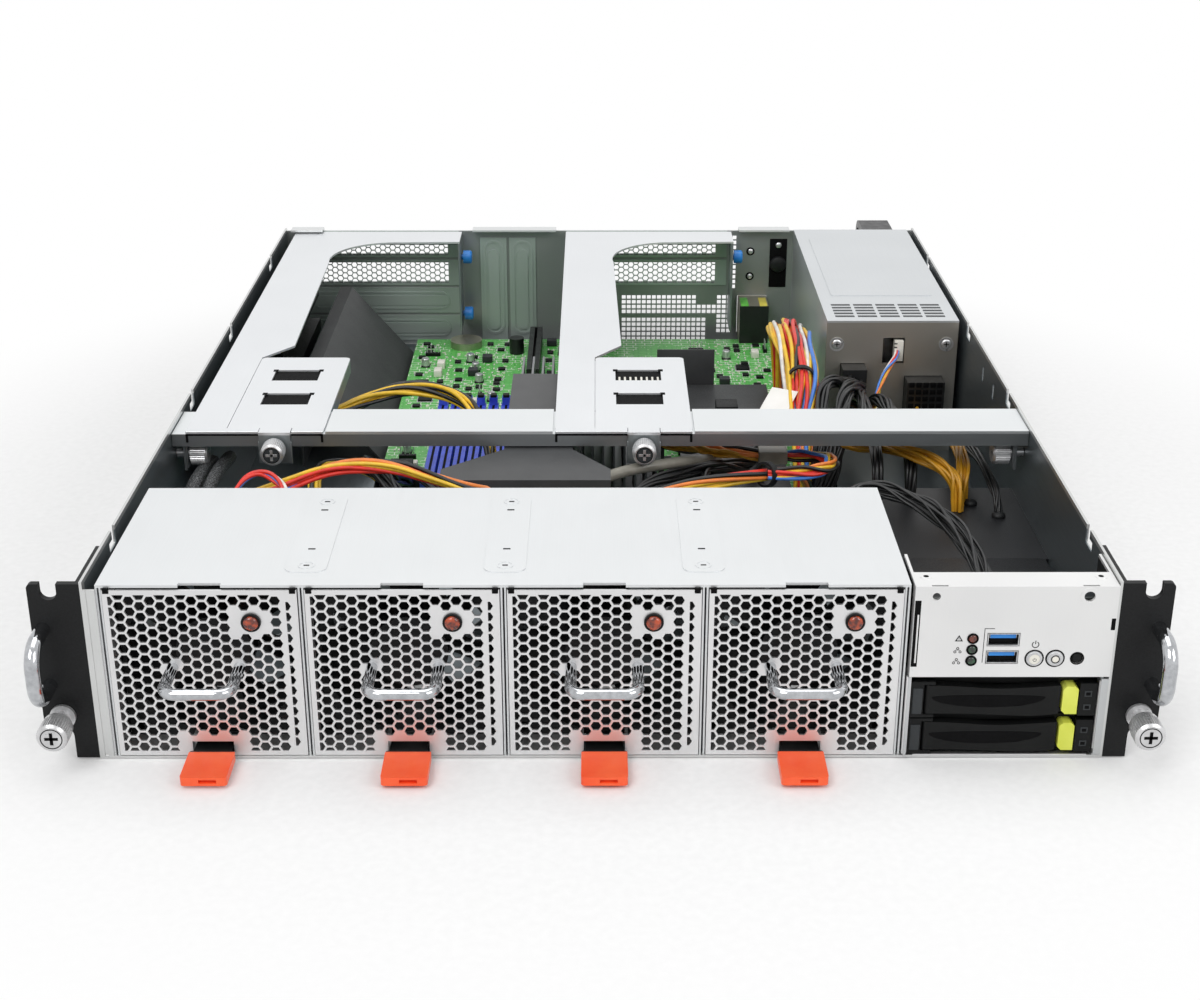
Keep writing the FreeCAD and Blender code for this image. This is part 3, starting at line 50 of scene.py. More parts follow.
FORWARD, UP = (0, -1, 0), (0, 0, 1)
SIDES = (("left", -1), ("right", 1))

# Faces of the construction model: by y, then by z
FRONT = -3.0
PANEL_FACE = -4.8
CAGE_BACK = 101.5
SUPPLY_FACE = 351.0
SLOT_FACE, REAR_FACE = 554.8, 555.8
BOARD_TOP = 9.6
COVER_TOP = 84.0

# Places on the fans, the control panel, the captive screws and the rear wall
FAN_PLACES = [sum(c.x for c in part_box("fan_frame_%d" % k)) / 2 / MM for k in range(1, 5)]
LAMP_OFFSET, LAMP_HEIGHT = 20.9, 66.7
STRAP_PLACES = (-126.4, -41.2, 43.9)
TRAY_LOWS = (2.1, 20.1)
STATUS_X, STATUS_ROWS = 157.5, (59.5, 54.2, 48.9)
PORT_ROWS = (59.0, 50.6)
POWER_X, LOCATE_X, RESET_X, BUTTON_ROW = 184.3, 193.2, 202.6, 50.0
EAR_SCREW_X, EAR_SCREW_Z = 232.55, 21.5
RISER_SHIFT = 187.4
RISER_SCREWS, RISER_SCREW_Z = {"left": -165.25, "right": 22.15}, 76.0
SUPPLY_SCREW_Z = 70.0
INLET_X, BOLT_X = 125.5, 106.0


# Finishes

def tone(value):
    """A linear colour from a written sRGB code or a level of grey. A linear colour stays as it is."""
    if isinstance(value, float):
        return (value, value, value, 1.0)
    if isinstance(value, str):
        shares = [int(value[k:k + 2], 16) / 255 for k in (1, 3, 5)]
        linear = [c / 12.92 if c <= 0.04045 else ((c + 0.055) / 1.055) ** 2.4 for c in shares]
        return (*linear, 1.0)
    return value


def per(size_mm):
    """The texture scale at which one pattern cell is about this many millimetres."""
    return 1.0 / (size_mm * MM)


def add(tree, kind, inputs=None, ramp=(), stops=(0.3, 0.7), **settings):
    """One node with its settings and links. An input is a value, a written colour, a socket or a node."""
    node = tree.nodes.new("ShaderNode" + kind)
    for name, value in settings.items():
        setattr(node, name, value)
    for name, value in (inputs or {}).items():
        if isinstance(value, bpy.types.Node):
            value = next(socket for socket in value.outputs if socket.enabled)
        if isinstance(value, bpy.types.NodeSocket):
            tree.links.new(value, node.inputs[name])
        else:
            node.inputs[name].default_value = tone(value) if isinstance(value, str) else value
    for k, value in enumerate(ramp):
        node.color_ramp.elements[k].position = stops[k]
        node.color_ramp.elements[k].color = tone(value)
    return node


def begin(name, cell_mm=None, detail=2.0):
    """A new material, its tree, the object coordinates, and a noise with cells of this size if asked."""
    material = bpy.data.materials.new(name)
    material.use_nodes = True
    tree = material.node_tree
    tree.nodes.clear()
    place = add(tree, "TexCoord").outputs["Object"]
    if cell_mm is None:
        return material, tree, place
    noise = add(tree, "TexNoise", {"Vector": place, "Scale": per(cell_mm), "Detail": detail})
    return material, tree, place, noise


def shade(material, inputs):
    """Ends a material with one shader that takes these inputs."""
    shader = add(material.node_tree, "BsdfPrincipled", inputs)
    add(material.node_tree, "OutputMaterial", {"Surface": shader})
    return material


def within(tree, place, low, high):
    """1 inside a box given in millimetres and 0 outside it. None leaves an axis free."""
    apart = add(tree, "SeparateXYZ", {"Vector": place})
    share = None
    for axis, a, b in zip("XYZ", low, high):
        if a is None:
            continue
        here = add(tree, "Math", {0: apart.outputs[axis], 1: (a + b) / 2 * MM, 2: (b - a) / 2 * MM},
                   operation="COMPARE")
        share = add(tree, "Math", {0: share, 1: here}, operation="MULTIPLY") if share else here
    return share


def patched(tree, tint, patches):
    """The tint with other tones laid over it. A patch is a mask and a tone."""
    for mask, over in patches:
        tint = add(tree, "Mix", {"Factor": mask, "A": tint, "B": over}, data_type="RGBA")
    return tint


def boxed(tree, place, boxes):
    """Patches from boxes. A box is a tone and two corners in millimetres."""
    return [(within(tree, place, low, high), over) for over, low, high in boxes]


def mottled(name, cell_mm, detail, low, high, gloss, relief=None, sockets=None):
    """A finish whose tone and gloss, and relief if it has any, follow one fine noise."""
    material, tree, place, noise = begin(name, cell_mm, detail)
    inputs = dict(sockets or {})
    for socket, ends in (("Base Color", (low, high)), ("Roughness", gloss)):
        inputs[socket] = add(tree, "ValToRGB", {"Fac": noise}, ramp=ends)
    if relief:
        strength, depth = relief
        inputs["Normal"] = add(tree, "Bump", {"Height": noise, "Strength": strength, "Distance": depth * MM})
    return shade(material, inputs)


def rolled_sheet(name, pale, dull, rough, along, metal=0.85, patches=()):
    """Zinc coated sheet as it comes off the rolls: an even tone, fine drawn lines along one axis.

    The patches are painted shade, or painted light: other tones laid over the faces inside their boxes.
    """
    material, tree, place, clouds = begin(name, 60.0)
    stretch = [per(0.6)] * 3
    stretch["xyz".index(along)] = per(26.0)
    drawn = add(tree, "Mapping", {"Vector": place, "Scale": stretch})
    lines = add(tree, "TexNoise", {"Vector": drawn, "Scale": 1.0, "Detail": 3.0})
    tint = add(tree, "ValToRGB", {"Fac": clouds}, ramp=(dull, pale), stops=(0.2, 0.8))
    gloss = add(tree, "ValToRGB", {"Fac": lines}, ramp=(rough - 0.03, rough + 0.05))
    bump = add(tree, "Bump", {"Height": lines, "Strength": 0.03, "Distance": 0.05 * MM})
    tint = patched(tree, tint, boxed(tree, place, patches))
    return shade(material, {"Base Color": tint, "Metallic": metal, "Roughness": gloss, "Normal": bump})


def moulded_plastic(name, deep, bright, rough, grain_mm=0.9, shine=0.5, patches=()):
    """Injection moulded plastic: an even colour with slight flow marks and a finely sparked skin."""
    material, tree, place, flow = begin(name, 14.0, 3.0)
    tint = add(tree, "ValToRGB", {"Fac": flow}, ramp=(deep, bright))
    grain = add(tree, "TexNoise", {"Vector": place, "Scale": per(grain_mm), "Detail": 2.0})
    gloss = add(tree, "ValToRGB", {"Fac": grain}, ramp=(rough - 0.06, rough + 0.08))
    bump = add(tree, "Bump", {"Height": grain, "Strength": 0.12, "Distance": 0.06 * MM})
    tint = patched(tree, tint, boxed(tree, place, patches))
    return shade(material, {"Base Color": tint, "IOR": 1.48, "Specular IOR Level": shine, "Roughness": gloss,
                            "Normal": bump})


def solder_mask():
    """Green lacquer over copper: paler tracks on a darker ground, white printed outlines, tinned pads."""
    material, tree, place, busy = begin("solder_mask", 20.0)
    tracks = add(tree, "TexBrick",
                 {"Vector": place, "Color1": "#6ccd5e", "Color2": "#87d975",
                  "Mortar": "#48a84a", "Scale": per(10.0), "Mortar Size": 0.05, "Brick Width": 0.9,
                  "Row Height": 0.16}, offset=0.37)
    cells = add(tree, "TexBrick",
                {"Vector": place, "Color1": tone(0.0), "Color2": tone(0.0), "Mortar": tone(1.0),
                 "Scale": per(7.5), "Mortar Size": 0.035, "Brick Width": 0.85, "Row Height": 0.6}, offset=0.3)
    printed = add(tree, "ValToRGB", {"Fac": busy}, ramp=(0.0, 1.0), stops=(0.47, 0.53))
    outline = add(tree, "Math", {0: cells, 1: printed}, operation="MULTIPLY")
    pads = add(tree, "TexVoronoi", {"Vector": place, "Scale": per(3.0), "Randomness": 0.9})
    spots = add(tree, "ValToRGB", {"Fac": pads}, ramp=(1.0, 0.0), stops=(0.13, 0.17))
    final = patched(tree, tracks, [(outline, "#e9efe2"), (spots, "#dfe6cf")])
    bump = add(tree, "Bump", {"Height": tracks.outputs["Fac"], "Strength": 0.15, "Distance": 0.04 * MM})
    return shade(material, {"Base Color": final, "IOR": 1.52, "Roughness": 0.34, "Normal": bump})


def socket_nylon():
    """Socket housings: blue nylon on the memory rows, black on the rest, tinned steel on the network port."""
    material, tree, place, flow = begin("socket_nylon", 6.0)
    blue = add(tree, "ValToRGB", {"Fac": flow}, ramp=("#2b3fb4", "#4a62dd"))
    memory = within(tree, place, (-104.0, 246.0, 9.0), (110.0, 390.0, 24.0))
    port = within(tree, place, (97.0, 531.4, 9.0), (119.0, 558.0, 37.0))
    cell = within(tree, place, (-104.5, 513.0, 9.0), (-81.0, 537.0, 15.5))
    metal = add(tree, "Math", {0: port, 1: cell}, operation="MAXIMUM")
    tinned = patched(tree, "#131415", [(memory, blue), (metal, "#b4b09f")])
    gloss = add(tree, "ValToRGB", {"Fac": flow}, ramp=(0.34, 0.48))
    return shade(material, {"Base Color": tinned, "Metallic": metal, "IOR": 1.5, "Roughness": gloss})


def port_board():
    """The small front board: green lacquer darkened near to black as painted shade behind the panel, nickel
    port shells and black lamp bodies before it.
    """
    material, tree, place, speck = begin("front_port_board", 2.0)
    shell = add(tree, "ValToRGB", {"Fac": speck}, ramp=("#a9aaab", "#cfd0d1"))
    ports = within(tree, place, (163.5, -6.0, 46.0), (177.5, 12.0, 64.0))
    lamps = within(tree, place, (154.0, -6.0, 45.0), (160.5, 12.0, 64.0))
    final = patched(tree, "#14211a", [(ports, shell), (lamps, "#101112")])
    return shade(material, {"Base Color": final, "Metallic": ports, "Roughness": 0.32})


def supply_case():
    """Nickel plated supply case with a black nylon handle and inlet behind its rear face."""
    material, tree, place, brushed = begin("supply_case", 5.0, 4.0)
    case = add(tree, "ValToRGB", {"Fac": brushed}, ramp=("#a9abad", "#c6c8c9"))
    handle = within(tree, place, (None, 559.3, None), (None, 700.0, None))
    tint = patched(tree, case, [(handle, "#17181a")])
    metal = add(tree, "Math", {0: 1.0, 1: handle}, operation="SUBTRACT")
    gloss = add(tree, "ValToRGB", {"Fac": brushed}, ramp=(0.3, 0.44))
    return shade(material, {"Base Color": tint, "Metallic": metal, "Roughness": gloss})


def wire_vinyl(name, hex_code):
    """Extruded wire insulation: clean colour with a soft sheen."""
    full = tone(hex_code)
    deep = (*(0.78 * c for c in full[:3]), 1.0)
    return mottled("wire_vinyl_" + name, 5.0, 2.0, deep, full, (0.32, 0.44), sockets={"IOR": 1.5})


def braided_sleeve():
    """Braided polyester sleeve over wires: crossed black threads with pale flecks."""
    material, tree, place = begin("braided_sleeve")
    threads = add(tree, "TexVoronoi", {"Vector": place, "Scale": per(1.3)}, feature="DISTANCE_TO_EDGE")
    tint = add(tree, "ValToRGB", {"Fac": threads}, ramp=("#6a6c6e", "#131415"), stops=(0.03, 0.09))
    bump = add(tree, "Bump", {"Height": threads, "Strength": 0.5, "Distance": 0.3 * MM})
    return shade(material, {"Base Color": tint, "Roughness": 0.6, "Normal": bump})


def lamp_acrylic(name, deep, bright):
    """Tinted acrylic over a lamp: a deep and a brighter colour, laid by a fine noise."""
    material, tree, place, depth = begin(name, 2.4, 1.0)
    tint = add(tree, "ValToRGB", {"Fac": depth}, ramp=(deep, bright), stops=(0.35, 0.65))
    return shade(material, {"Base Color": tint, "IOR": 1.49, "Roughness": 0.08, "Coat Weight": 0.6})


# Painted shade: a darker tone over the faces inside the case, on its walls and floor.
INNER_CASE_SHADE = ("#7c8488", (-218.4, 1.0, 0.9), (218.4, 555.0, 83.4))
# Painted shade: near black under the card windows of the riser cages, where the inside of the box is dark.
CARD_WINDOW_SHADE = [("#17181a", (x, 205.0, 74.0), (x + 27.0, 270.0, 82.85)) for x in (-180.0, 7.4)]
steel = {
    "case": rolled_sheet("galvanised_case_sheet", "#d6d7d6", "#cacbca", 0.32, "y", patches=[INNER_CASE_SHADE]),
    "cover": rolled_sheet("zinc_plated_cover", "#dadcdd", "#d6d8d9", 0.5, "y"),
    "grille": rolled_sheet("zinc_plated_grille", "#e2e2e2", "#dadadb", 0.4, "x"),
    # The panel patch is painted shade on the faces behind the panel's front.
    "panel": rolled_sheet("zinc_plated_panel", "#e8e8e7", "#dcdcdc", 0.46, "z",
                          patches=[("#2a2c2e", (None, 1.0, 42.0), (None, 60.0, 82.6))]),
    # The bar patch is painted shade: the crossbar and its springs darker below the bar's top.
    "bar": rolled_sheet("zinc_plated_bar", "#e6e9ea", "#dfe2e3", 0.36, "x",
                        patches=[("#989c9e", (None, 172.0, 60.0), (None, 206.0, 82.5))]),
    # The cage patch is painted shade: the riser cages darker below their top plates.
    "cage": rolled_sheet("zinc_plated_cage", "#e1e3e5", "#dcdee0", 0.44, "y",
                         patches=[("#8e9496", (None, 150.0, 0.0), (None, 600.0, 82.6))] + CARD_WINDOW_SHADE),
    # The bays patch is painted shade inside the drive cage.
    "bays": rolled_sheet("zinc_plated_bays", "#c8cacb", "#b8babb", 0.4, "x",
                         patches=[("#1d1e20", (133.4, 2.0, 1.4), (213.6, 200.0, 40.0))]),
    # The rear sheet is darker than the case sheet, and its top lip lighter: painted light on the top of the
    # wall.
    "rear": rolled_sheet("galvanised_rear_sheet", "#989c9a", "#8d918f", 0.4, "x", 0.5,
                         [("#d9dbdb", (None, 540.0, 83.6), (None, 560.0, 90.0))]),
    "slot": rolled_sheet("passivated_slot_cover", "#b2bdb7", "#a5b0aa", 0.4, "x", 0.4),
    # The supply patch is painted shade on the front face of the supply cage.
    "supply": rolled_sheet("zinc_plated_supply_cage", "#d3d6d8", "#cdd0d2", 0.4, "y",
                           patches=[("#b3afa7", (None, 350.0, 0.0), (None, 352.4, 83.4))]),
}
# Black polyester powder on steel, with a fine pebbled skin that breaks up its highlights
black_coat = mottled("powder_coated_steel", 0.7, 3.0, "#101011", "#1a1b1c", (0.42, 0.56),
                     (0.25, 0.12), {"IOR": 1.5, "Specular IOR Level": 0.22})
# Plated and polished metal: a near mirror, with the faint haze that handling leaves
chrome = mottled("chrome_plate", 3.0, 3.0, "#a8aaad", "#c2c4c7", (0.05, 0.13),
                 sockets={"Metallic": 1.0})
nickel = mottled("turned_nickel", 5.0, 3.0, "#c2c2c3", "#d6d6d7", (0.26, 0.36),
                 sockets={"Metallic": 0.7})
black_nylon = moulded_plastic("black_nylon", "#121314", "#1b1c1d", 0.5, shine=0.3)
# The black sheet's dark grey is partly its own near black and partly painted sheen, as on the duct roof; the
# shelf part keeps a darker tone.
SHELF_SIDE = ("#1d1e20", (131.0, None, None), (218.0, None, None))
black_sheet_with_painted_sheen = moulded_plastic("black_polycarbonate_with_painted_sheen", "#3c3d3e", "#444546", 0.42, 0.5, 0.4, [SHELF_SIDE])
black_abs = moulded_plastic("black_abs", "#0c0d0d", "#131414", 0.4, shine=0.2)
grey_abs = moulded_plastic("grey_abs", "#2c2f31", "#36393b", 0.44, shine=0.3)
LEVER_NECK = ("#0d0d0e", (None, -7.0, None), (None, 40.0, None))
orange_abs = moulded_plastic("orange_abs", "#fb5426", "#ff6938", 0.36, patches=[LEVER_NECK])
lime_abs = moulded_plastic("lime_abs", "#d3da48", "#e4ea66", 0.38)
green_abs = moulded_plastic("green_abs", "#4fb43a", "#74cf55", 0.34)
yellow_abs = moulded_plastic("yellow_abs", "#c9b738", "#e3d45c", 0.34)
blue_abs = moulded_plastic("blue_abs", "#1670c4", "#3390e2", 0.34)
silver_paint = moulded_plastic("silver_painted_abs", "#b9bbbd", "#d3d5d6", 0.34)
white_nylon = moulded_plastic("white_nylon", "#dedbd0", "#efece2", 0.45)
white_ceramic = moulded_plastic("white_ceramic", "#cfcbb9", "#efece0", 0.4, 0.4)
paper = moulded_plastic("bare_paper_tag", "#eceae4", "#f6f5f1", 0.75, 0.3)
printing_ink = moulded_plastic("printing_ink", "#1e1f20", "#2a2b2c", 0.6, shine=0.2)
# Flat black for painted shade: it fills gaps, holes, slots and recesses where shadow falls.
painted_shade_black = moulded_plastic("painted_shadow_black", "#060607", "#0b0b0c", 0.7, shine=0.1)
dark_lacquer = moulded_plastic("black_lacquered_board", "#0f1211", "#181c1a", 0.4, shine=0.3)
aluminium = rolled_sheet("extruded_aluminium", "#8f9193", "#7d7f81", 0.45, "y")
sleeve = braided_sleeve()
amber = lamp_acrylic("amber_acrylic", "#4a1206", "#b8430f")
brown_lens = lamp_acrylic("brown_acrylic", "#1c0804", "#6d2810")
green_lens = lamp_acrylic("green_acrylic", "#06140b", "#1a4a2b")
vinyl = {name: wire_vinyl(name, code) for name, code in (
    ("black", "#121314"), ("yellow", "#f6c832"), ("red", "#e8382c"), ("blue", "#4a88e2"),
    ("orange", "#f58a3a"), ("white", "#f0eee8"), ("grey", "#77797a"), ("gold", "#d69b22"),
    ("beige", "#8d8a80"))}

finish_of = {"chassis_tray": steel["case"], "rear_panel": steel["rear"], "rack_ears": black_coat,
             "ear_handles": chrome, "fan_cage": steel["cover"], "control_panel": steel["panel"],
             "front_io_board": port_board(), "drive_cage": steel["bays"], "daughter_boards": dark_lacquer,
             "crossbar": steel["bar"], "riser_cage_left": steel["cage"], "riser_cage_right": steel["cage"],
             "slot_covers": steel["slot"], "psu_cage": steel["supply"], "motherboard": solder_mask(),
             "board_sockets": socket_nylon(), "cpu_heatsink": aluminium, "air_baffles": black_sheet_with_painted_sheen,
             "power_button": silver_paint, "uid_button": silver_paint, "reset_button": black_abs}
for kind, count, finish in (
        ("fan_carrier", 4, steel["grille"]), ("fan_frame", 4, black_nylon), ("fan_rotor", 4, black_nylon),
        ("fan_handle", 4, chrome), ("fan_lever", 4, orange_abs), ("drive_tray", 2, black_abs),
        ("drive_lever", 2, black_abs), ("drive_latch", 2, lime_abs), ("psu_module", 2, supply_case()),
        ("card_thumbscrew", 3, blue_abs)):
    for k in range(1, count + 1):
        finish_of["%s_%d" % (kind, k)] = finish
for screw in ("ear", "bar", "riser"):
    for side, sign in SIDES:
        finish_of["%s_thumbscrew_%s" % (screw, side)] = nickel
for node, finish in finish_of.items():
    nodes[node].data.materials.clear()
    nodes[node].data.materials.append(finish)


# Modelling by hand: start from a primitive, work it in edit mode, settle it at the origin

def about(middle, half):
    return (middle - half, middle + half)


def new_object(name, data):
    thing = bpy.data.objects.new(name, data)
    bpy.context.scene.collection.objects.link(thing)
    return thing


def lay_down():
    """Leaves edit mode with nothing selected."""
    if bpy.context.mode != "OBJECT":
        bpy.ops.object.mode_set(mode="OBJECT")
    bpy.ops.object.select_all(action="DESELECT")


def take_up():
    """Enters edit mode with the whole mesh selected."""
    bpy.ops.object.mode_set(mode="EDIT")
    bpy.ops.mesh.select_all(action="SELECT")


def settle(finish):
    """Ends the edit, puts the piece's place into its mesh and gives it its finish and smooth shading."""
    bpy.ops.object.mode_set(mode="OBJECT")
    piece = bpy.context.active_object
    bpy.ops.object.transform_apply(location=True, rotation=True, scale=True)
    piece.data.materials.clear()
    piece.data.materials.append(finish)
    bpy.ops.object.shade_smooth_by_angle(angle=math.radians(35))
    return piece


def stand(finish, base, axis):
    """Closes a piece drawn up z, and stands it on its base along its axis."""
    bpy.ops.mesh.select_all(action="SELECT")
    bpy.ops.mesh.normals_make_consistent(inside=False)
    piece = bpy.context.active_object
    piece.rotation_euler = Vector(axis).to_track_quat("Z", "Y").to_euler()
    piece.location = Vector(base) * MM
    return settle(finish)


def block(finish, x, y, z, edge=0.3, steps=2):
    """A block between two limits on each axis, with all its edges eased."""
    lay_down()
    bpy.ops.mesh.primitive_cube_add(size=1.0, location=[(a + b) / 2 * MM for a, b in (x, y, z)])
    bpy.context.active_object.scale = [(b - a) * MM for a, b in (x, y, z)]
    bpy.ops.object.transform_apply(location=True, rotation=True, scale=True)
    take_up()
    bpy.ops.mesh.bevel(offset=edge * MM, segments=steps, affect="EDGES")
    return settle(finish)


def turned(finish, base, axis, stations, sides=32):
    """A turned piece: a disc drawn up its axis through radius and height pairs."""
    lay_down()
    radius, height = stations[0]
    bpy.ops.mesh.primitive_circle_add(vertices=sides, radius=radius * MM, fill_type="NGON")
    take_up()
    bpy.ops.transform.translate(value=(0, 0, height * MM))
    for wide, high in stations[1:]:
        bpy.ops.mesh.extrude_region_move(TRANSFORM_OT_translate={"value": (0, 0, (high - height) * MM)})
        bpy.ops.transform.resize(value=(wide / radius, wide / radius, 1.0), center_override=(0, 0, high * MM))
        radius, height = wide, high
    return stand(finish, base, axis)


def washer(finish, base, axis, outer, inner, height, sides=32, stretch=(0.0, 0.0)):
    """A flat ring: a disc that is pulled long if asked, inset and opened, then drawn up to its height."""
    lay_down()
    bpy.ops.mesh.primitive_circle_add(vertices=sides, radius=outer * MM, fill_type="NGON")
    for corner in bpy.context.active_object.data.vertices:
        for way in (0, 1):
            if abs(corner.co[way]) > 1e-6:
                corner.co[way] += math.copysign(stretch[way] * MM, corner.co[way])
    take_up()
    bpy.ops.mesh.inset(thickness=(outer - inner) * MM)
    bpy.ops.mesh.delete(type="FACE")
    bpy.ops.mesh.select_all(action="SELECT")
    bpy.ops.mesh.extrude_region_move(TRANSFORM_OT_translate={"value": (0, 0, height * MM)})
    return stand(finish, base, axis)


def join_up(pieces):
    lay_down()
    for piece in pieces:
        piece.select_set(True)
    bpy.context.view_layer.objects.active = pieces[0]
    if len(pieces) > 1:
        bpy.ops.object.join()
    return bpy.context.active_object


def set_out(pattern, places):
    """Copies of one piece, each with its own mesh, moved by each place and turned by its angle."""
    made = []
    for x, y, z, turn in places:
        twin = new_object("twin", pattern.data.copy())
        spot = Matrix.Translation(Vector((x, y, z)) * MM)
        twin.data.transform(spot @ Matrix.Rotation(math.radians(turn), 4, "Z"))
        made.append(twin)
    bpy.data.objects.remove(pattern)
    return made


def fit(name, pieces, body="chassis"):
    """Makes one named piece of one or more, riding on a body."""
    piece = join_up(pieces if isinstance(pieces, list) else [pieces])
    piece.name = piece.data.name = name
    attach(piece, body)
    return piece


# How far printing stands off a face
INK = 0.06


def printed_symbol(centre, size, y, kind):
    """A small generic sign just proud of a face: a warning triangle, linked nodes or a power mark."""
    x, z = centre
    deep = (y - INK, y)
    if kind == "warning":
        return [washer(printing_ink, (x, y, z), FORWARD, size, size * 0.78, INK, 3),
                block(printing_ink, about(x, 0.12), deep, (z - 0.2, z + 0.75), 0.02, 1)]
    if kind == "links":
        rings = [washer(printing_ink, (x + dx * size, y, z + dz * size), FORWARD, 0.55 * size, 0.3 * size,
                        INK, 16) for dx, dz in ((0.0, 0.7), (-0.95, -0.75), (0.95, -0.75))]
        return rings + [block(printing_ink, about(x, 0.95 * size), deep, about(z, 0.1), 0.02, 1)]
    arc = washer(printing_ink, (x, y, z), FORWARD, size, size * 0.76, INK, 32)
    bpy.ops.object.mode_set(mode="EDIT")
    bpy.ops.mesh.select_mode(type="FACE")
    bpy.ops.mesh.select_all(action="DESELECT")
    bpy.ops.object.mode_set(mode="OBJECT")
    for face in arc.data.polygons:
        face.select = face.center.z > (z + 0.72 * size) * MM
    bpy.ops.object.mode_set(mode="EDIT")
    bpy.ops.mesh.delete(type="FACE")
    bpy.ops.mesh.select_mode(type="VERT")
    bpy.ops.mesh.select_all(action="SELECT")
    bpy.ops.mesh.fill_holes(sides=4)
    bpy.ops.object.mode_set(mode="OBJECT")
    return [arc, block(printing_ink, about(x, 0.12 * size), deep, (z + 0.15 * size, z + 1.2 * size), 0.02, 1)]


# Fan modules and the fan cage's cover

def dress_fan(number, x):
    body = "fan_module_%d" % number
    lamp = (x + LAMP_OFFSET, FRONT, LAMP_HEIGHT)
    dome = [(3.25, 0.0), (3.25, 1.2), (3.1, 1.8), (2.6, 2.3), (1.8, 2.65), (0.8, 2.8), (0.3, 2.85)]
    fit("fan_lamp_lens_%d" % number, turned(amber, lamp, FORWARD, dome), body)
    fit("fan_lamp_rim_%d" % number, washer(black_abs, lamp, FORWARD, 4.2, 3.2, 1.1), body=body)
    # Painted shade: dark blocks in the gaps by the hooks at the top corners of each fan.
    hooks = [block(painted_shade_black, about(x + reach, 1.3), (FRONT - 0.5, FRONT + 1.0), (80.2, 82.6), 0.25)
             for reach in (-39.2, 39.2)]
    fit("fan_corner_hook_shades_%d" % number, hooks, body=body)


def dress_cover():
    ring = washer(steel["cover"], (0, 0, COVER_TOP), UP, 3.6, 2.9, 0.25)
    # The dark slit in each rivet and the dark notches are painted shade in the cover's pierced openings.
    slit = block(painted_shade_black, (-1.2, 1.2), (-0.45, 0.45), (COVER_TOP - 0.1, COVER_TOP + 0.12), 0.05, 1)
    places = [(x, y, 0, 0) for x in STRAP_PLACES for y in (16.5, 84.5)]
    fit("cover_rivets", set_out(join_up([ring, slit]), places))
    notch = block(painted_shade_black, (-1.6, 1.6), (-0.55, 0.55), about(COVER_TOP, 0.1), 0.05, 1)
    fit("cover_notches", set_out(notch, [(x, y, 0, 0) for x in STRAP_PLACES for y in (33.0, 75.0)]))


for number, x in enumerate(FAN_PLACES, 1):
    dress_fan(number, x)
dress_cover()


# Control panel

def dress_panel():
    y = PANEL_FACE
    dome = [(1.9, 0.0), (1.9, 0.3), (1.7, 0.7), (1.2, 1.0), (0.4, 1.1)]
    for number, (z, finish) in enumerate(zip(STATUS_ROWS, (brown_lens, green_lens, green_lens)), 1):
        fit("status_lamp_%d" % number, turned(finish, (STATUS_X, y + 0.4, z), FORWARD, dome, 24))
    # Painted shade: a dark ring round each status lamp, in the gap of its hole.
    rim = washer(painted_shade_black, (STATUS_X, y, 0), FORWARD, 2.4, 1.85, 0.45, 24)
    fit("status_lamp_rims", set_out(rim, [(0, 0, z, 0) for z in STATUS_ROWS]))
    tongue = block(blue_abs, (165.0, 176.0), (y + 0.9, y + 14.0), (0.2, 2.35), 0.15)
    fit("port_tongues", set_out(tongue, [(0, 0, z, 0) for z in PORT_ROWS]))
    # The port mouths are painted shade inside the port openings.
    mouth = block(painted_shade_black, (164.6, 176.4), (y + 1.6, y + 14.0), (-2.3, 0.15), 0.1)
    fit("port_mouths", set_out(mouth, [(0, 0, z, 0) for z in PORT_ROWS]))
    signs = []
    for centre, size, kind in (((151.6, 59.2), 2.0, "warning"), ((151.4, 54.0), 1.15, "links"),
                               ((151.2, 48.7), 1.15, "links"), ((POWER_X, 56.6), 1.6, "power")):
        signs += printed_symbol(centre, size, y, kind)
    for wide, tall in (((162.1, 162.4), (48.0, 64.4)), ((162.1, 166.4), (64.1, 64.4))):
        signs.append(block(printing_ink, wide, (y - 0.05, y), tall, 0.02, 1))
    fit("panel_printing", signs)
    collars = [washer(steel["panel"], (205.0, y, 79.4), FORWARD, 3.9, 2.4, 0.2),
               washer(steel["panel"], (140.7, y, 79.4), FORWARD, 2.5, 1.8, 0.15)]
    # The dark discs are painted shade in the flange holes.
    for x in (137.5, 211.6):
        collars.append(washer(steel["panel"], (x, 5.0, COVER_TOP), UP, 2.6, 1.2, 0.2))
        collars.append(turned(painted_shade_black, (x, 5.0, COVER_TOP), UP, [(1.2, 0.0), (1.2, 0.06), (1.0, 0.08)], 20))
    fit("panel_hole_collars", collars)
    # The dark blocks are painted shade in the gaps at the panel's sides.
    clips = [block(painted_shade_black, (131.9, 134.5), (y - 0.12, y + 0.2), (46.0, 77.5), 0.08, 1),
             block(steel["panel"], (133.2, 133.9), (y - 0.5, y), (48.0, 71.0), 0.12),
             block(painted_shade_black, (215.4, 217.2), (y - 0.12, y + 0.2), (63.5, 69.0), 0.08, 1)]
    fit("panel_side_clips", clips)


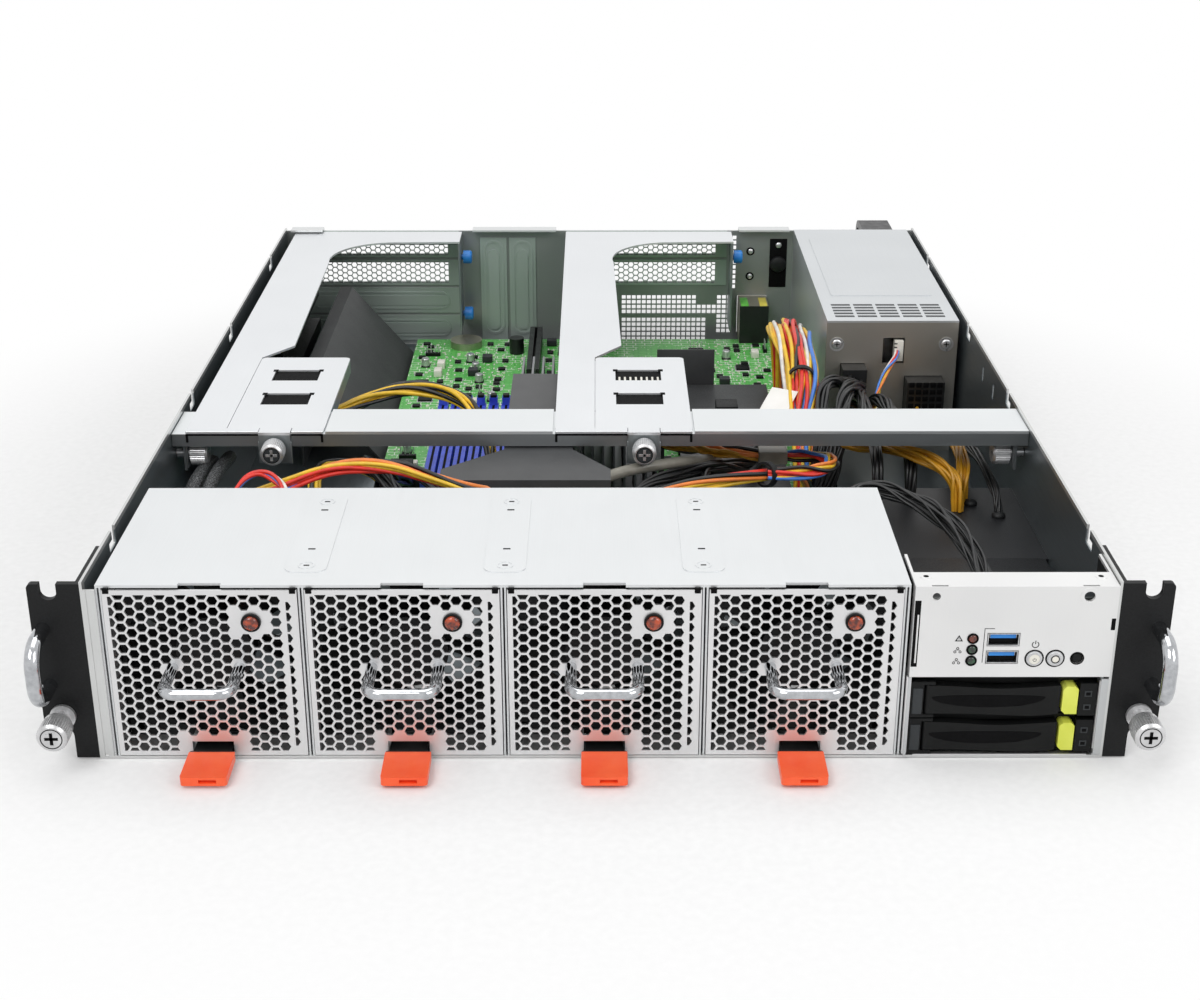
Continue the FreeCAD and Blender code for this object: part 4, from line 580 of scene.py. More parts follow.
def dress_buttons():
    power, locate = ((x, PANEL_FACE - 0.9, BUTTON_ROW) for x in (POWER_X, LOCATE_X))
    pieces = [turned(white_nylon, power, FORWARD, [(2.3, 0.0), (2.3, 0.1), (2.1, 0.2)]),
              washer(nickel, power, FORWARD, 3.0, 2.4, 0.25)]
    pieces += printed_symbol((POWER_X, 49.8), 0.8, PANEL_FACE - 0.9 - 0.2, "power")
    fit("power_button_face", pieces, "power_button")
    pieces = [washer(nickel, locate, FORWARD, 3.0, 2.4, 0.25),
              washer(printing_ink, locate, FORWARD, 1.9, 1.5, 0.15),
              turned(white_nylon, locate, FORWARD, [(1.4, 0.0), (1.4, 0.12), (1.2, 0.2)])]
    fit("uid_button_face", pieces, "uid_button")
    # Painted shade: dark rings round the buttons, in the gaps of their holes.
    fit("button_wells", [washer(painted_shade_black, (x, PANEL_FACE, BUTTON_ROW), FORWARD, r + 0.75, r + 0.25, 0.12)
                         for x, r in ((POWER_X, 3.4), (LOCATE_X, 3.4), (RESET_X, 2.3))])


dress_panel()
dress_buttons()


# Drive bays

def finger_scoop(x, y, z):
    """Painted shade in the hollow of a drive pull: a disc drawn wide, flat above and sagging below."""
    half_wide, sag = 24.5, 5.0
    piece = turned(painted_shade_black, (0, 0, 0), FORWARD, [(1.0, 0.0), (1.0, 0.2), (0.98, 0.25)], 48)
    for corner in piece.data.vertices:
        depth = 1.0 if corner.co.z > 0 else sag
        corner.co = (corner.co.x * half_wide + x * MM, corner.co.y + y * MM, corner.co.z * depth + z * MM)
    return piece


def dress_drives():
    for number, low in enumerate(TRAY_LOWS, 1):
        body = "drive_tray_%d" % number
        scoop = finger_scoop(167.0, FRONT + 0.1, low + 10.0)
        fit("drive_scoop_%d" % number, scoop, body="drive_lever_%d" % number)
        cheek = block(grey_abs, (134.2, 138.4), (FRONT - 0.5, FRONT + 0.6), (low + 1.8, low + 14.4), 0.35)
        fit("drive_cheek_%d" % number, cheek, body=body)
        windows = []
        # The dark centre of each lamp window is painted shade.
        for z in (low + 5.0, low + 11.6):
            windows.append(block(grey_abs, (208.2, 211.4), (FRONT - 0.2, FRONT + 0.3), about(z, 1.4), 0.15))
            windows.append(block(painted_shade_black, (208.8, 210.8), (FRONT - 0.26, FRONT + 0.3), about(z, 0.8), 0.1))
        fit("drive_lamp_windows_%d" % number, windows, body=body)
    posts = [block(steel["grille"], (213.9, 216.8), (FRONT - 1.0, FRONT + 1.2), (4.2, 38.6), 0.9, 4),
             block(steel["grille"], (130.9, 133.1), (FRONT - 0.8, FRONT + 1.2), (2.2, 40.4), 0.4),
             block(steel["grille"], (136.0, 212.0), (FRONT - 0.2, FRONT + 0.8), (1.0, 1.7), 0.15)]
    fit("drive_bay_posts", posts)


dress_drives()


# Crossbar, riser cages and captive screws

def dress_risers():
    for side, x in RISER_SCREWS.items():
        plate = block(steel["cage"], about(x, 8.6), (171.6, 172.8), (67.0, 79.0), 0.5, 3)
        fit("riser_screw_plate_%s" % side, plate)
    # The shade strips are painted shade: dark lines under the riser plates' front edges and at their ends,
    # dark marks in the slots by the card windows, and black plates in the windows where the inside of the box
    # is in shade.
    lips, shade_strips = [], []
    edge = (172.7, 173.1)
    for shift in (0.0, RISER_SHIFT):
        for a, b in ((-210.4, -173.6), (-156.9, -140.7)):
            wide = (a + shift, b + shift)
            lips.append(block(steel["cage"], wide, (173.0, 178.2), (82.7, 84.0), 0.15, 1))
            shade_strips.append(block(painted_shade_black, wide, edge, (81.8, 82.7), 0.1, 1))
        for x in (-210.4, -141.9):
            shade_strips.append(block(painted_shade_black, (x + shift, x + shift + 1.2), edge, (78.2, 82.7), 0.1, 1))
        for x in (-179.0, -154.0):
            for y in (229.0, 266.0):
                wide = about(x + shift, 1.3)
                shade_strips.append(block(painted_shade_black, wide, (y - 2.6, y + 0.9), (83.9, 84.05), 0.05, 1))
        for near in (212.0, 249.0):
            opening = (-178.9 + shift, -154.1 + shift)
            shade_strips.append(block(painted_shade_black, opening, (near + 0.1, near + 16.9), (82.3, 83.15), 0.05, 1))
    fit("riser_front_lips", lips)
    fit("riser_front_shade_strips", shade_strips)
    bar = block(white_nylon, (-0.55, 0.55), (249.8, 256.5), (82.6, 83.3), 0.1, 1)
    fit("riser_window_bars", set_out(bar, [(10.6 + 3.0 * k, 0, 0, 0) for k in range(8)]))
    for side, sign in SIDES:
        spring = []
        for reach, tall in ((211.7, (63.0, 77.0)), (216.5, (76.3, 77.0))):
            wide = sorted((sign * 211.0, sign * reach))
            spring.append(block(steel["bar"], wide, (176.0, 188.0), tall, 0.2))
        fit("bar_spring_%s" % side, spring)


FLUTES = 40


def fluted_ring(base, axis, outer, length):
    """The grip round a screw head: a ring with every second corner of its outer edge drawn in."""
    ring = washer(nickel, (0, 0, 0), UP, outer, outer - 0.7, length, 2 * FLUTES)
    for corner in ring.data.vertices:
        step = round(math.atan2(corner.co.y, corner.co.x) / (math.pi / FLUTES))
        if step % 2 and corner.co.xy.length > (outer - 0.3) * MM:
            corner.co.xy *= 1.0 - 0.4 / outer
    bpy.ops.object.shade_smooth_by_angle(angle=math.radians(35))
    stood = Vector(axis).to_track_quat("Z", "Y").to_matrix().to_4x4()
    ring.data.transform(Matrix.Translation(Vector(base) * MM) @ stood)
    return ring


def dress_screws():
    """Fluted grips on the captive screws, and crosses in the heads of those that face forward. The dark ring
    round each sunk centre, the ear screws' dark crosses and the grey dish in the riser screws' heads are
    painted shade.
    """
    for side, sign in SIDES:
        for kind, x, z, grip, cross in (("ear", sign * EAR_SCREW_X, EAR_SCREW_Z, 6.5, painted_shade_black),
                                        ("riser", RISER_SCREWS[side], RISER_SCREW_Z, 5.75, nickel)):
            body = "%s_thumbscrew_%s" % (kind, side)
            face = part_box(body)[0].y / MM
            sunk = (x, face + 0.02, z)
            pieces = [fluted_ring((x, face + 1.2, z), (0, 1, 0), grip + 0.25, 7.4),
                      washer(painted_shade_black, sunk, FORWARD, 0.74 * grip, 0.67 * grip, 0.08, 40)]
            if kind == "riser":
                dish = [(0.68 * grip, 0.0), (0.68 * grip, 0.06), (0.6 * grip, 0.08)]
                pieces.append(turned(grey_abs, sunk, FORWARD, dish, 40))
            deep = (face - 0.12, face + 1.4)
            for wide, high in ((2.9, 0.7), (0.7, 2.9)):
                pieces.append(block(cross, about(x, wide), deep, about(z, high), 0.05, 1))
            fit(body + "_head", pieces, body)
        body = "bar_thumbscrew_%s" % side
        low, high = (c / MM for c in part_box(body))
        face = high.x if sign < 0 else low.x
        base = (face + sign * 1.2, (low.y + high.y) / 2, (low.z + high.z) / 2)
        fit(body + "_grip", fluted_ring(base, (sign, 0, 0), 6.25, 7.4), body)


dress_risers()
dress_screws()


# Power supply cage

def dress_supply_cage():
    screws = []
    for x in (141.9, 207.4):
        seat = (x, SUPPLY_FACE, SUPPLY_SCREW_Z)
        screws.append(turned(nickel, seat, FORWARD, [(3.0, 0.0), (3.0, 0.5), (2.6, 0.9), (1.9, 1.05)]))
        screws.append(washer(nickel, seat, FORWARD, 4.4, 3.3, 0.4))
        # The dark crosses are painted shade in the screws' slots.
        for wide, high in ((1.6, 0.3), (0.3, 1.6)):
            tall = about(SUPPLY_SCREW_Z, high)
            screws.append(block(painted_shade_black, about(x, wide), (349.9, 350.2), tall, 0.05, 1))
    fit("supply_cage_screws", screws)
    plug = [block(white_nylon, (176.4, 181.8), (349.6, 356.0), (59.6, 72.4), 0.3)]
    for k in range(5):
        tall = (61.2 + 2.3 * k, 61.9 + 2.3 * k)
        plug.append(block(grey_abs, (176.2, 178.0), (349.3, 350.2), tall, 0.08, 1))
    fit("supply_signal_plug", plug)
    # The dark cells are painted shade in the holes of the supplies' plugs.
    cell = block(painted_shade_black, (-1.7, 1.7), (338.8, 339.6), (-1.6, 1.6), 0.4, 2)
    places = [(186.6 + 4.2 * k, 0, 17.4 + 4.4 * j, 0) for k in range(5) for j in range(8)]
    fit("supply_plug_cells", set_out(cell, places))
    # Painted shade: grey strips laid over the louvres on the supplies' tops, darkening their openings.
    louvre_shade = block(grey_abs, (-0.3, 11.3), (-0.6, 2.5), (84.4, 84.66), 0.05, 1)
    places = [(141.6 + 13.6 * k, 359.0 + 5.6 * j, 0, 0) for k in range(5) for j in range(5)]
    fit("supply_louvre_shades", set_out(louvre_shade, places))


dress_supply_cage()


# Main board and rear wall

def dress_memory():
    # Painted shade: dark strips in the slots of the memory sockets.
    row = join_up([block(painted_shade_black, (-0.7, 0.7), along, (18.5, 18.72), 0.05, 1)
                   for along in ((251.0, 315.0), (321.0, 385.0))])
    columns = [start + 7.9 * k for start in (-98.0, 62.0) for k in range(6)]
    fit("memory_grooves", set_out(row, [(x, 0, 0, 0) for x in columns]))
    hook = block(black_abs, (-2.0, 2.0), (-2.2, 2.2), (23.0, 25.4), 0.5, 2)
    fit("memory_latches", set_out(hook, [(x, y, 0, 0) for x in columns for y in (249.5, 386.5)]))


def board_kinds():
    """The small parts: a name, one of each standing on the origin, its footprint and how many there are."""
    chip = [block(white_ceramic, (-1.0, 1.0), (-0.5, 0.5), (0.0, 0.6), 0.1, 1),
            block(nickel, (-1.3, -0.9), (-0.55, 0.55), (0.0, 0.65), 0.08, 1)]
    legs = [block(nickel, (-3.4, 3.4), (-1.6 + 1.1 * k, -1.2 + 1.1 * k), (0.0, 0.4), 0.08, 1)
            for k in range(4)]
    driver = [block(black_abs, (-2.4, 2.4), (-2.1, 2.1), (0.2, 1.5), 0.2, 1)] + legs
    pads = block(nickel, (-5.2, 5.2), (-5.2, 5.2), (0.0, 0.35), 0.1, 1)
    hub = [pads, block(black_abs, (-4.4, 4.4), (-4.4, 4.4), (0.2, 1.6), 0.25)]
    choke = [block(grey_abs, (-3.4, 3.4), (-3.4, 3.4), (0.0, 4.6), 0.7, 2)]
    can = [block(black_abs, (-3.0, 3.0), (-3.0, 3.0), (0.0, 0.8), 0.2, 1),
           turned(nickel, (0, 0, 0.6), UP, [(2.6, 0.0), (2.6, 4.8), (2.3, 5.2), (1.6, 5.2)], 20)]
    pins = [block(nickel, (-4.4 + 2.54 * k, -3.8 + 2.54 * k), (-0.3, 0.3), (2.0, 7.5), 0.1, 1)
            for k in range(4)]
    header = [block(black_abs, (-5.4, 4.8), (-1.3, 1.3), (0.0, 2.5), 0.2, 1)] + pins
    plug = [block(white_nylon, (-4.2, 4.2), (-2.6, 2.6), (0.0, 4.6), 0.5, 2)]
    return [("hub_chips", hub, 12.0, 12.0, 7), ("chokes", choke, 8.0, 8.0, 9),
            ("pin_headers", header, 12.0, 4.0, 7), ("white_plugs", plug, 10.0, 7.0, 6),
            ("can_capacitors", can, 7.0, 7.0, 12),
            ("driver_chips", driver, 8.0, 6.0, 70), ("chip_resistors", chip, 3.4, 2.0, 420)]


def dress_board():
    chance = random.Random(6117)
    fields = [(-126.0, -60.0, 394.0, 536.0), (-56.0, -22.0, 394.0, 536.0), (60.0, 128.0, 394.0, 528.0),
              (-126.0, -104.0, 250.0, 390.0), (-50.0, 58.0, 300.0, 394.0)]
    taken = [(-106.0, -80.0, 511.0, 539.0), (-64.0, -50.0, 503.0, 519.0), (-50.0, -38.0, 440.0, 540.0),
             (-20.0, -8.0, 406.0, 505.0), (110.0, 126.0, 400.0, 416.0), (-79.0, 36.0, 200.0, 396.0)]
    areas = [(b - a) * (d - c) for a, b, c, d in fields]
    for name, parts, wide, deep, count in board_kinds():
        places = []
        for _ in range(count * 6):
            if len(places) == count:
                break
            a, b, c, d = chance.choices(fields, areas)[0]
            x = chance.uniform(a + wide / 2, b - wide / 2)
            y = chance.uniform(c + deep / 2, d - deep / 2)
            turned_over = chance.random() < 0.5
            w, h = (deep, wide) if turned_over else (wide, deep)
            spot = (x - w / 2, x + w / 2, y - h / 2, y + h / 2)
            if any(spot[0] < t[1] and t[0] < spot[1] and spot[2] < t[3] and t[2] < spot[3] for t in taken):
                continue
            taken.append(spot)
            places.append((x, y, BOARD_TOP, 90.0 if turned_over else 0.0))
        fit(name, set_out(join_up(parts), places))
    lamps = [block(finish, wide, (531.6, 551.0), (36.2, 36.85), 0.25)
             for finish, wide in ((green_abs, (98.8, 104.2)), (yellow_abs, (111.8, 117.2)))]
    fit("network_lamps", lamps)


def dress_rear_wall():
    rings = [washer(steel["slot"], (x, SLOT_FACE, 43.0), FORWARD, 7.2, 5.7, 0.7, 32, (0.0, 27.0))
             for x in (-74.1, -53.8)]
    rings += [washer(steel["slot"], (-154.0, SLOT_FACE, z), FORWARD, 6.4, 5.0, 0.7, 32, (42.0, 0.0))
              for z in (33.8, 13.4)]
    fit("slot_cover_rings", rings)
    grommet = [(5.4, 0.0), (5.8, 0.9), (5.2, 2.2), (3.4, 3.0), (1.2, 3.2)]
    boss = [(2.0, 0.0), (2.0, 0.8), (1.4, 1.3), (0.5, 1.4)]
    # The dark block is painted shade in the wire opening.
    fit("rear_wire_opening", [block(painted_shade_black, (119.5, 131.5), (555.2, 556.0), (43.0, 78.0), 0.35),
                              turned(black_nylon, (INLET_X, 555.3, 60.0), FORWARD, grommet),
                              turned(nickel, (INLET_X, 555.3, 73.6), FORWARD, boss, 24)])
    bolts = []
    for z in (69.0, 51.0):
        seat = (BOLT_X, REAR_FACE, z)
        # A dark ring of painted shade round each bolt.
        bolts.append(washer(painted_shade_black, seat, FORWARD, 2.9, 1.9, 0.3, 24))
        bolts.append(turned(nickel, seat, FORWARD, [(1.8, 0.0), (1.8, 0.6), (1.3, 1.0), (0.5, 1.1)], 24))
    fit("rear_plate_bolts", bolts)


dress_memory()
dress_board()
dress_rear_wall()


# Wiring

def route_line(points_mm):
    """Points along a smooth line that has the route's points as its control points."""
    curve = bpy.data.curves.new("route", "CURVE")
    curve.dimensions = "3D"
    curve.resolution_u = 10
    spline = curve.splines.new("NURBS")
    spline.points.add(len(points_mm) - 1)
    for knot, point in zip(spline.points, points_mm):
        knot.co = (*(c * MM for c in point), 1.0)
    spline.order_u = 3
    spline.use_endpoint_u = True
    line = new_object("route", curve)
    bpy.context.view_layer.update()
    mesh = bpy.data.meshes.new_from_object(line)
    path = [v.co.copy() for v in mesh.vertices]
    bpy.data.objects.remove(line)
    bpy.data.meshes.remove(mesh)
    return path


def section_frames(path):
    """At each point of a path, two directions square to it that turn as little as they can."""
    side = Vector((0.31, 0.17, 0.94)).normalized()
    frames = []
    for k in range(len(path)):
        ahead = (path[min(k + 1, len(path) - 1)] - path[max(k - 1, 0)]).normalized()
        side = (side - ahead * ahead.dot(side)).normalized()
        frames.append((side, ahead.cross(side)))
    return frames


# A full turn, the turns that a bundle's lay makes along it, and the angle that spreads its wires
TURN = 6.283
TWIST = 0.8
GOLDEN_ANGLE = 2.39996


def wire_bundle(name, points_mm, bundle_mm, wire_mm, colours, seed, node):
    """Separate wires that wander round each other along one route, made as one piece."""
    path = route_line(points_mm)
    frames = section_frames(path)
    chance = random.Random(seed)
    reach = (bundle_mm - wire_mm) / 2 * MM
    curve = bpy.data.curves.new(name, "CURVE")
    curve.dimensions = "3D"
    curve.bevel_depth = wire_mm / 2 * MM
    curve.bevel_resolution = 2
    curve.use_fill_caps = True
    used = sorted(set(colours))
    for hue in used:
        curve.materials.append(sleeve if hue == "sleeve" else vinyl[hue])
    for k, hue in enumerate(colours):
        spline = curve.splines.new("POLY")
        spline.points.add(len(path) - 1)
        out = reach * math.sqrt((k + 0.5) / len(colours)) if len(colours) > 1 else 0.0
        start, sway, wave = k * GOLDEN_ANGLE, chance.uniform(0.0, 6.28), chance.uniform(1.2, 2.6)
        for j, (point, (side, up)) in enumerate(zip(path, frames)):
            share = j / (len(path) - 1)
            loose = 0.8 + 0.34 * math.sin(math.pi * share)
            angle = start + TWIST * TURN * share + 0.5 * math.sin(wave * TURN * share + sway)
            r = out * loose * (1.0 + 0.12 * math.sin(wave * 9.0 * share + sway))
            spline.points[j].co = (*(point + side * (r * math.cos(angle)) + up * (r * math.sin(angle))), 1.0)
        spline.material_index = used.index(hue)
        spline.use_smooth = True
    bundle = new_object(name, curve)
    lay_down()
    bundle.select_set(True)
    bpy.context.view_layer.objects.active = bundle
    bpy.ops.object.convert(target="MESH")
    bundle = fit(name, bpy.context.active_object)
    if node:
        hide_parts(node)
    return path


# Where wires end: board sockets, card plugs, the supplies' plugs, the back of the ports, the cable shelf
HEADER, PLUG, PLUG_FACE, PORTS_BACK, SHELF = 19.6, 75.8, 339.0, 13.8, 41.0
MIXED = ["red", "yellow", "yellow", "orange", "blue", "red", "white", "yellow", "red", "orange", "black",
         "yellow", "red", "yellow", "blue", "red"]
SECOND = ["yellow", "blue", "orange", "yellow", "red", "white", "yellow", "yellow"]
LOOP = ["red", "red", "yellow", "blue", "orange", "red", "orange", "yellow", "red", "black"]
FEED = ["red", "yellow", "red", "yellow", "orange", "red", "yellow", "black"]

# Each bundle: the node it replaces, its diameter and its wires', their colours, the plane that y counts
# from and its route
harness = [
    ("left_loop", "power_harness", 8.0, 2.2, LOOP, CAGE_BACK,
     [(-202, 0, 74), (-202, 12, 72), (-184, 18, 66), (-158, 26, 71), (-132, 38, 79), (-104, 38, 80),
      (-80, 29, 75), (-60, 21, 73), (-51, 13, 75), (-51, 0, 75)]),
    ("left_feed", "power_harness", 8.0, 2.4, ["yellow", "black"] * 4 + ["yellow"], 0,
     [(-112, 212, HEADER), (-112, 212, 33), (-119, 205, 49), (-134, 190, 59), (-145, 170, 65),
      (-144, 146, 62), (-135, 126, 54), (-126.4, CAGE_BACK + 14, 44), (-126.4, CAGE_BACK, 44)]),
    ("card_feed", "power_harness", 9.0, 2.5, ["yellow", "black"] * 5, 0,
     [(-57.5, 226, HEADER), (-57.5, 226, 33), (-60, 242, 50), (-68, 268, 59), (-86, 290, 62), (-110, 298, 62),
      (-132, 291, 58), (-150, 274, 54), (-160.5, 257.5, 60), (-160.5, 257.5, PLUG)]),
    ("main_loop", "power_harness", 11.0, 2.5, MIXED, 0,
     [(118, 408, HEADER), (118, 408, 44), (117, 400, 65), (114, 374, 75), (115, 340, 76), (116, 306, 71),
      (114, 276, 61), (112, 252, 50), (112, 233, 36), (112, 233, HEADER)]),
    ("fan_feed", "power_harness", 7.0, 2.2, FEED, 0,
     [(112, 212, HEADER), (112, 212, 33), (108, 200, 47), (99, 180, 59), (86, 160, 66), (62, 146, 69),
      (34, 137, 67), (6, 127, 60), (-20, 121, 53), (-41.2, CAGE_BACK + 16, 44), (-41.2, CAGE_BACK, 44)]),
    ("front_wires", "signal_harness", 9.0, 1.5, ["black"] * 18, 0,
     [(120, CAGE_BACK, 75), (120, CAGE_BACK + 16, 75), (134, CAGE_BACK + 25, 73), (152, CAGE_BACK + 15, 71),
      (163, CAGE_BACK - 6, 70), (170, CAGE_BACK - 33, 67), (172, CAGE_BACK - 60, 63),
      (172, PORTS_BACK + 14, 61), (172, PORTS_BACK, 61)]),
    ("supply_wires", "signal_harness", 8.0, 1.9, ["black"] * 12, PLUG_FACE,
     [(152, 0, 42), (152, -12, 45), (151, -34, 55), (149, -60, 61), (147, -92, 63), (145, -128, 64),
      (144, -155, 61), (144, -155, SHELF)]),
    ("drive_wires", "signal_harness", 8.0, 2.1, ["gold"] * 8, 0,
     [(188, FRONT + 183, SHELF), (188, FRONT + 183, 54), (189, FRONT + 198, 61), (190, FRONT + 222, 60),
      (191, FRONT + 250, 53), (192, FRONT + 278, 44), (192, FRONT + 304, 36), (191, FRONT + 326, 32),
      (191, PLUG_FACE, 32)]),
    ("loop_second", None, 9.0, 2.5, SECOND, 0,
     [(114, 406, HEADER), (113, 406, 44), (108, 398, 66), (105, 370, 75), (107, 338, 75), (109, 304, 69),
      (108, 274, 58), (109, 250, 47), (110, 231, 34), (110, 230, HEADER)]),
    ("loop_third", None, 9.0, 2.5, ["red", "orange", "yellow", "red", "yellow", "white", "red", "blue"], 0,
     [(121, 410, HEADER), (122, 410, 44), (124, 401, 62), (123, 372, 72), (123, 340, 74), (122, 308, 71),
      (120, 278, 63), (117, 254, 52), (115, 236, 38), (114.5, 235, HEADER)]),
    ("loop_black", None, 8.0, 1.9, ["black"] * 13, PLUG_FACE,
     [(150, 0, 52), (149, -12, 53), (142, -28, 60), (132, -44, 67), (124, -66, 68), (121, -92, 58),
      (119, -106, 42), (115, -107, HEADER)]),
    ("loop_black_second", None, 8.0, 1.9, ["black"] * 13, PLUG_FACE,
     [(154, 0, 34), (153, -12, 36), (148, -30, 46), (139, -52, 55), (131, -76, 56), (126, -98, 48),
      (122, -112, 36), (117, -114, HEADER)]),
    ("supply_black", None, 8.0, 1.9, ["black"] * 12, PLUG_FACE,
     [(157, 0, 34), (157, -12, 38), (160, -32, 52), (162, -58, 59), (164, -92, 61), (163, -128, 60),
      (162, -152, 58), (162, -152, SHELF)]),
    ("loop_black_third", None, 9.0, 1.9, ["black"] * 15, PLUG_FACE,
     [(156, 0, 48), (155, -12, 50), (147, -32, 60), (139, -56, 66), (134, -82, 64), (130, -102, 52),
      (126, -114, 38), (120, -116, HEADER)]),
    ("drive_gold", None, 9.0, 2.1, ["gold"] * 10, 0,
     [(127, 258, 16), (127, 256, 34), (131, 242, 52), (139, 220, 59), (152, 202, 63), (168, 188, 64),
      (180, 178, 60), (184, 172, 50), (184, 170, SHELF)]),
    ("pin_wires", None, 6.0, 1.5, ["black"] * 9, 0,
     [(203.5, 163, SHELF), (203.5, 165, 47), (202, 178, 55), (199, 200, 59), (197, 226, 55), (198, 260, 45),
      (200, 300, 33), (201, 324, 26), (201, PLUG_FACE, 24)]),
    ("signal_wires", None, 4.0, 1.4, ["red", "yellow", "blue", "white", "orange"], 0,
     [(178, 349.6, 66), (177, 342, 66), (172, 336, 62), (166, 330, 54), (163, 322, 46), (160, 310, 42),
      (154, 296, 46), (150, 284, 48.5)]),
    ("braided_lead", None, 8.0, 8.0, ["sleeve"], 0,
     [(-203, 196, 58), (-203, 186, 60), (-204, 166, 62), (-206, 146, 58), (-206, 126, 51),
      (-205, CAGE_BACK + 10, 46), (-205, CAGE_BACK, 46)]),
    ("braided_second", None, 7.0, 7.0, ["sleeve"], 0,
     [(-194, 198, 60), (-194, 188, 62), (-195, 168, 64), (-197, 148, 60), (-197, 128, 53),
      (-196, CAGE_BACK + 10, 48), (-196, CAGE_BACK, 48)]),
    ("left_coil", None, 5.0, 1.9, ["blue", "red", "red", "white"], CAGE_BACK,
     [(-178, 0, 62), (-178, 8, 70), (-174, 18, 79), (-163, 24, 83), (-153, 17, 78), (-150, 8, 69),
      (-150, 0, 62)]),
    ("left_black", None, 7.0, 1.8, ["black", "black", "white", "black", "black", "grey", "black"], CAGE_BACK,
     [(-60, 0, 66), (-62, 12, 66), (-76, 36, 64), (-92, 62, 65), (-106, 84, 62), (-114, 100, 49),
      (-115, 109, 34), (-113.5, 109, HEADER)]),
    ("left_black_second", None, 9.0, 1.8, ["black"] * 12, CAGE_BACK,
     [(-88, 0, 56), (-90, 16, 58), (-102, 46, 64), (-118, 74, 64), (-126, 100, 56), (-124, 122, 44),
      (-118, 142, 34), (-116, 166, 26), (-115, 182, 14)]),
    ("left_black_third", None, 9.0, 1.8, ["black"] * 12, CAGE_BACK,
     [(-104, 0, 52), (-105, 16, 54), (-110, 48, 58), (-112, 80, 56), (-112, 102, 46), (-110, 124, 36),
      (-108, 146, 26), (-108, 166, 15)]),
    ("orange_feed", None, 8.0, 2.0, ["gold", "orange", "gold", "gold", "orange", "gold", "black", "gold"], 0,
     [(20, 222, 62), (28, 216, 62), (42, 208, 62), (58, 203, 62), (72, 201, 61), (84, 200, 60)]),
    ("orange_tail", None, 8.0, 2.0, ["red", "yellow", "yellow", "red", "orange", "blue", "black"], 0,
     [(97, 199, 60), (106, 197, 61), (117, 188, 64), (120, 174, 66), (112, 162, 67), (98, 158, 67),
      (84, 157, 67)]),
    ("grey_lead", None, 6.0, 6.0, ["beige"], CAGE_BACK,
     [(-14, 0, 62), (-13, 18, 64), (-4, 46, 67), (14, 62, 67), (34, 72, 66), (52, 88, 62), (62, 108, 53),
      (68, 130, 41), (70, 152, 33)]),
    ("right_black", None, 10.0, 1.9, ["black"] * 16, CAGE_BACK,
     [(8, 0, 52), (10, 18, 56), (22, 50, 62), (44, 76, 60), (66, 102, 52), (82, 132, 42), (92, 170, 35),
      (97, 206, 33)]),
    ("right_black_second", None, 10.0, 1.9, ["black"] * 16, CAGE_BACK,
     [(58, 0, 48), (58, 18, 51), (54, 50, 56), (54, 86, 54), (60, 120, 46), (68, 160, 38), (74, 200, 34),
      (76, 232, 33)]),
]
bundle_paths = {}
for number, (name, node, bundle_mm, wire_mm, colours, plane, points) in enumerate(harness):
    route = [(x, plane + y, z) for x, y, z in points]
    bundle_paths[name] = wire_bundle(name, route, bundle_mm, wire_mm, colours, number + 3, node)


def dress_wiring():
    for name, bundle, off_mark, outer, inner, length in (
            ("loop_tie", "main_loop", lambda p: abs(p.y - 298 * MM) + (p.z < 50 * MM), 7.6, 6.6, 2.8),
            ("feed_tie", "fan_feed", lambda p: abs(p.x - 84 * MM), 6.6, 5.4, 3.4)):
        path = bundle_paths[bundle]
        knot = min(range(1, len(path) - 1), key=lambda k: off_mark(path[k]))
        ahead = (path[knot + 1] - path[knot - 1]).normalized()
        fit(name, washer(black_nylon, path[knot] / MM - ahead * (length / 2), ahead, outer, inner, length))
    tag = block(paper, (90.0, 106.0), (256.0, 284.0), (59.6, 59.9), 0.1, 1)
    take_up()
    bpy.ops.mesh.subdivide(number_cuts=4)
    bpy.ops.object.mode_set(mode="OBJECT")
    turn = Matrix.Rotation(math.radians(-28), 4, "Z") @ Matrix.Rotation(math.radians(24), 4, "X")
    hinge = Vector((106.0, 270.0, 60.0)) * MM
    tag.data.transform(Matrix.Translation(hinge) @ turn @ Matrix.Translation(-hinge))
    fit("bare_wire_tag", tag)
    dome = [(3.4, 0.0), (3.6, 0.6), (3.3, 1.6), (2.4, 2.4), (1.0, 2.8)]
    for number, (x, y) in enumerate(((192.0, 179.0), (203.5, 163.0)), 1):
        fit("shelf_push_pin_%d" % number, turned(black_nylon, (x, y, SHELF), UP, dome, 24))
    joint = block(vinyl["beige"], (83.0, 98.0), (194.5, 205.0), (56.5, 63.5), 0.8, 3)
    fit("feed_joint", joint)
    fit("wire_end_plugs", [block(black_nylon, about(x, 6.5), (y - 3.0, y + 11.0), (z, z + 10.0), 0.5)
                           for x, y, z in ((97.0, 307.5, 27.7), (76.0, 333.5, 27.7), (70.0, 253.5, 27.7),
                                           (-115.0, 283.5, BOARD_TOP), (-108.0, 267.0, BOARD_TOP),
                                           (127.0, 258.0, BOARD_TOP))])


def dress_guides():
    """Black sheet over the drive cage behind the front panel, and over the memory sockets on the right."""
    fit("shelf_front_sheet", block(black_sheet_with_painted_sheen, (133.4, 216.0), (17.5, 112.4), (41.05, 41.65), 0.2))
    fit("right_guide_sheet", [block(black_sheet_with_painted_sheen, (46.0, 105.0), (206.0, 397.0), (26.9, 27.7), 0.25),
                              block(black_sheet_with_painted_sheen, (36.0, 72.0), (396.4, 397.4), (27.0, 51.0), 0.25)])


dress_guides()
dress_wiring()


# Camera, floor and light

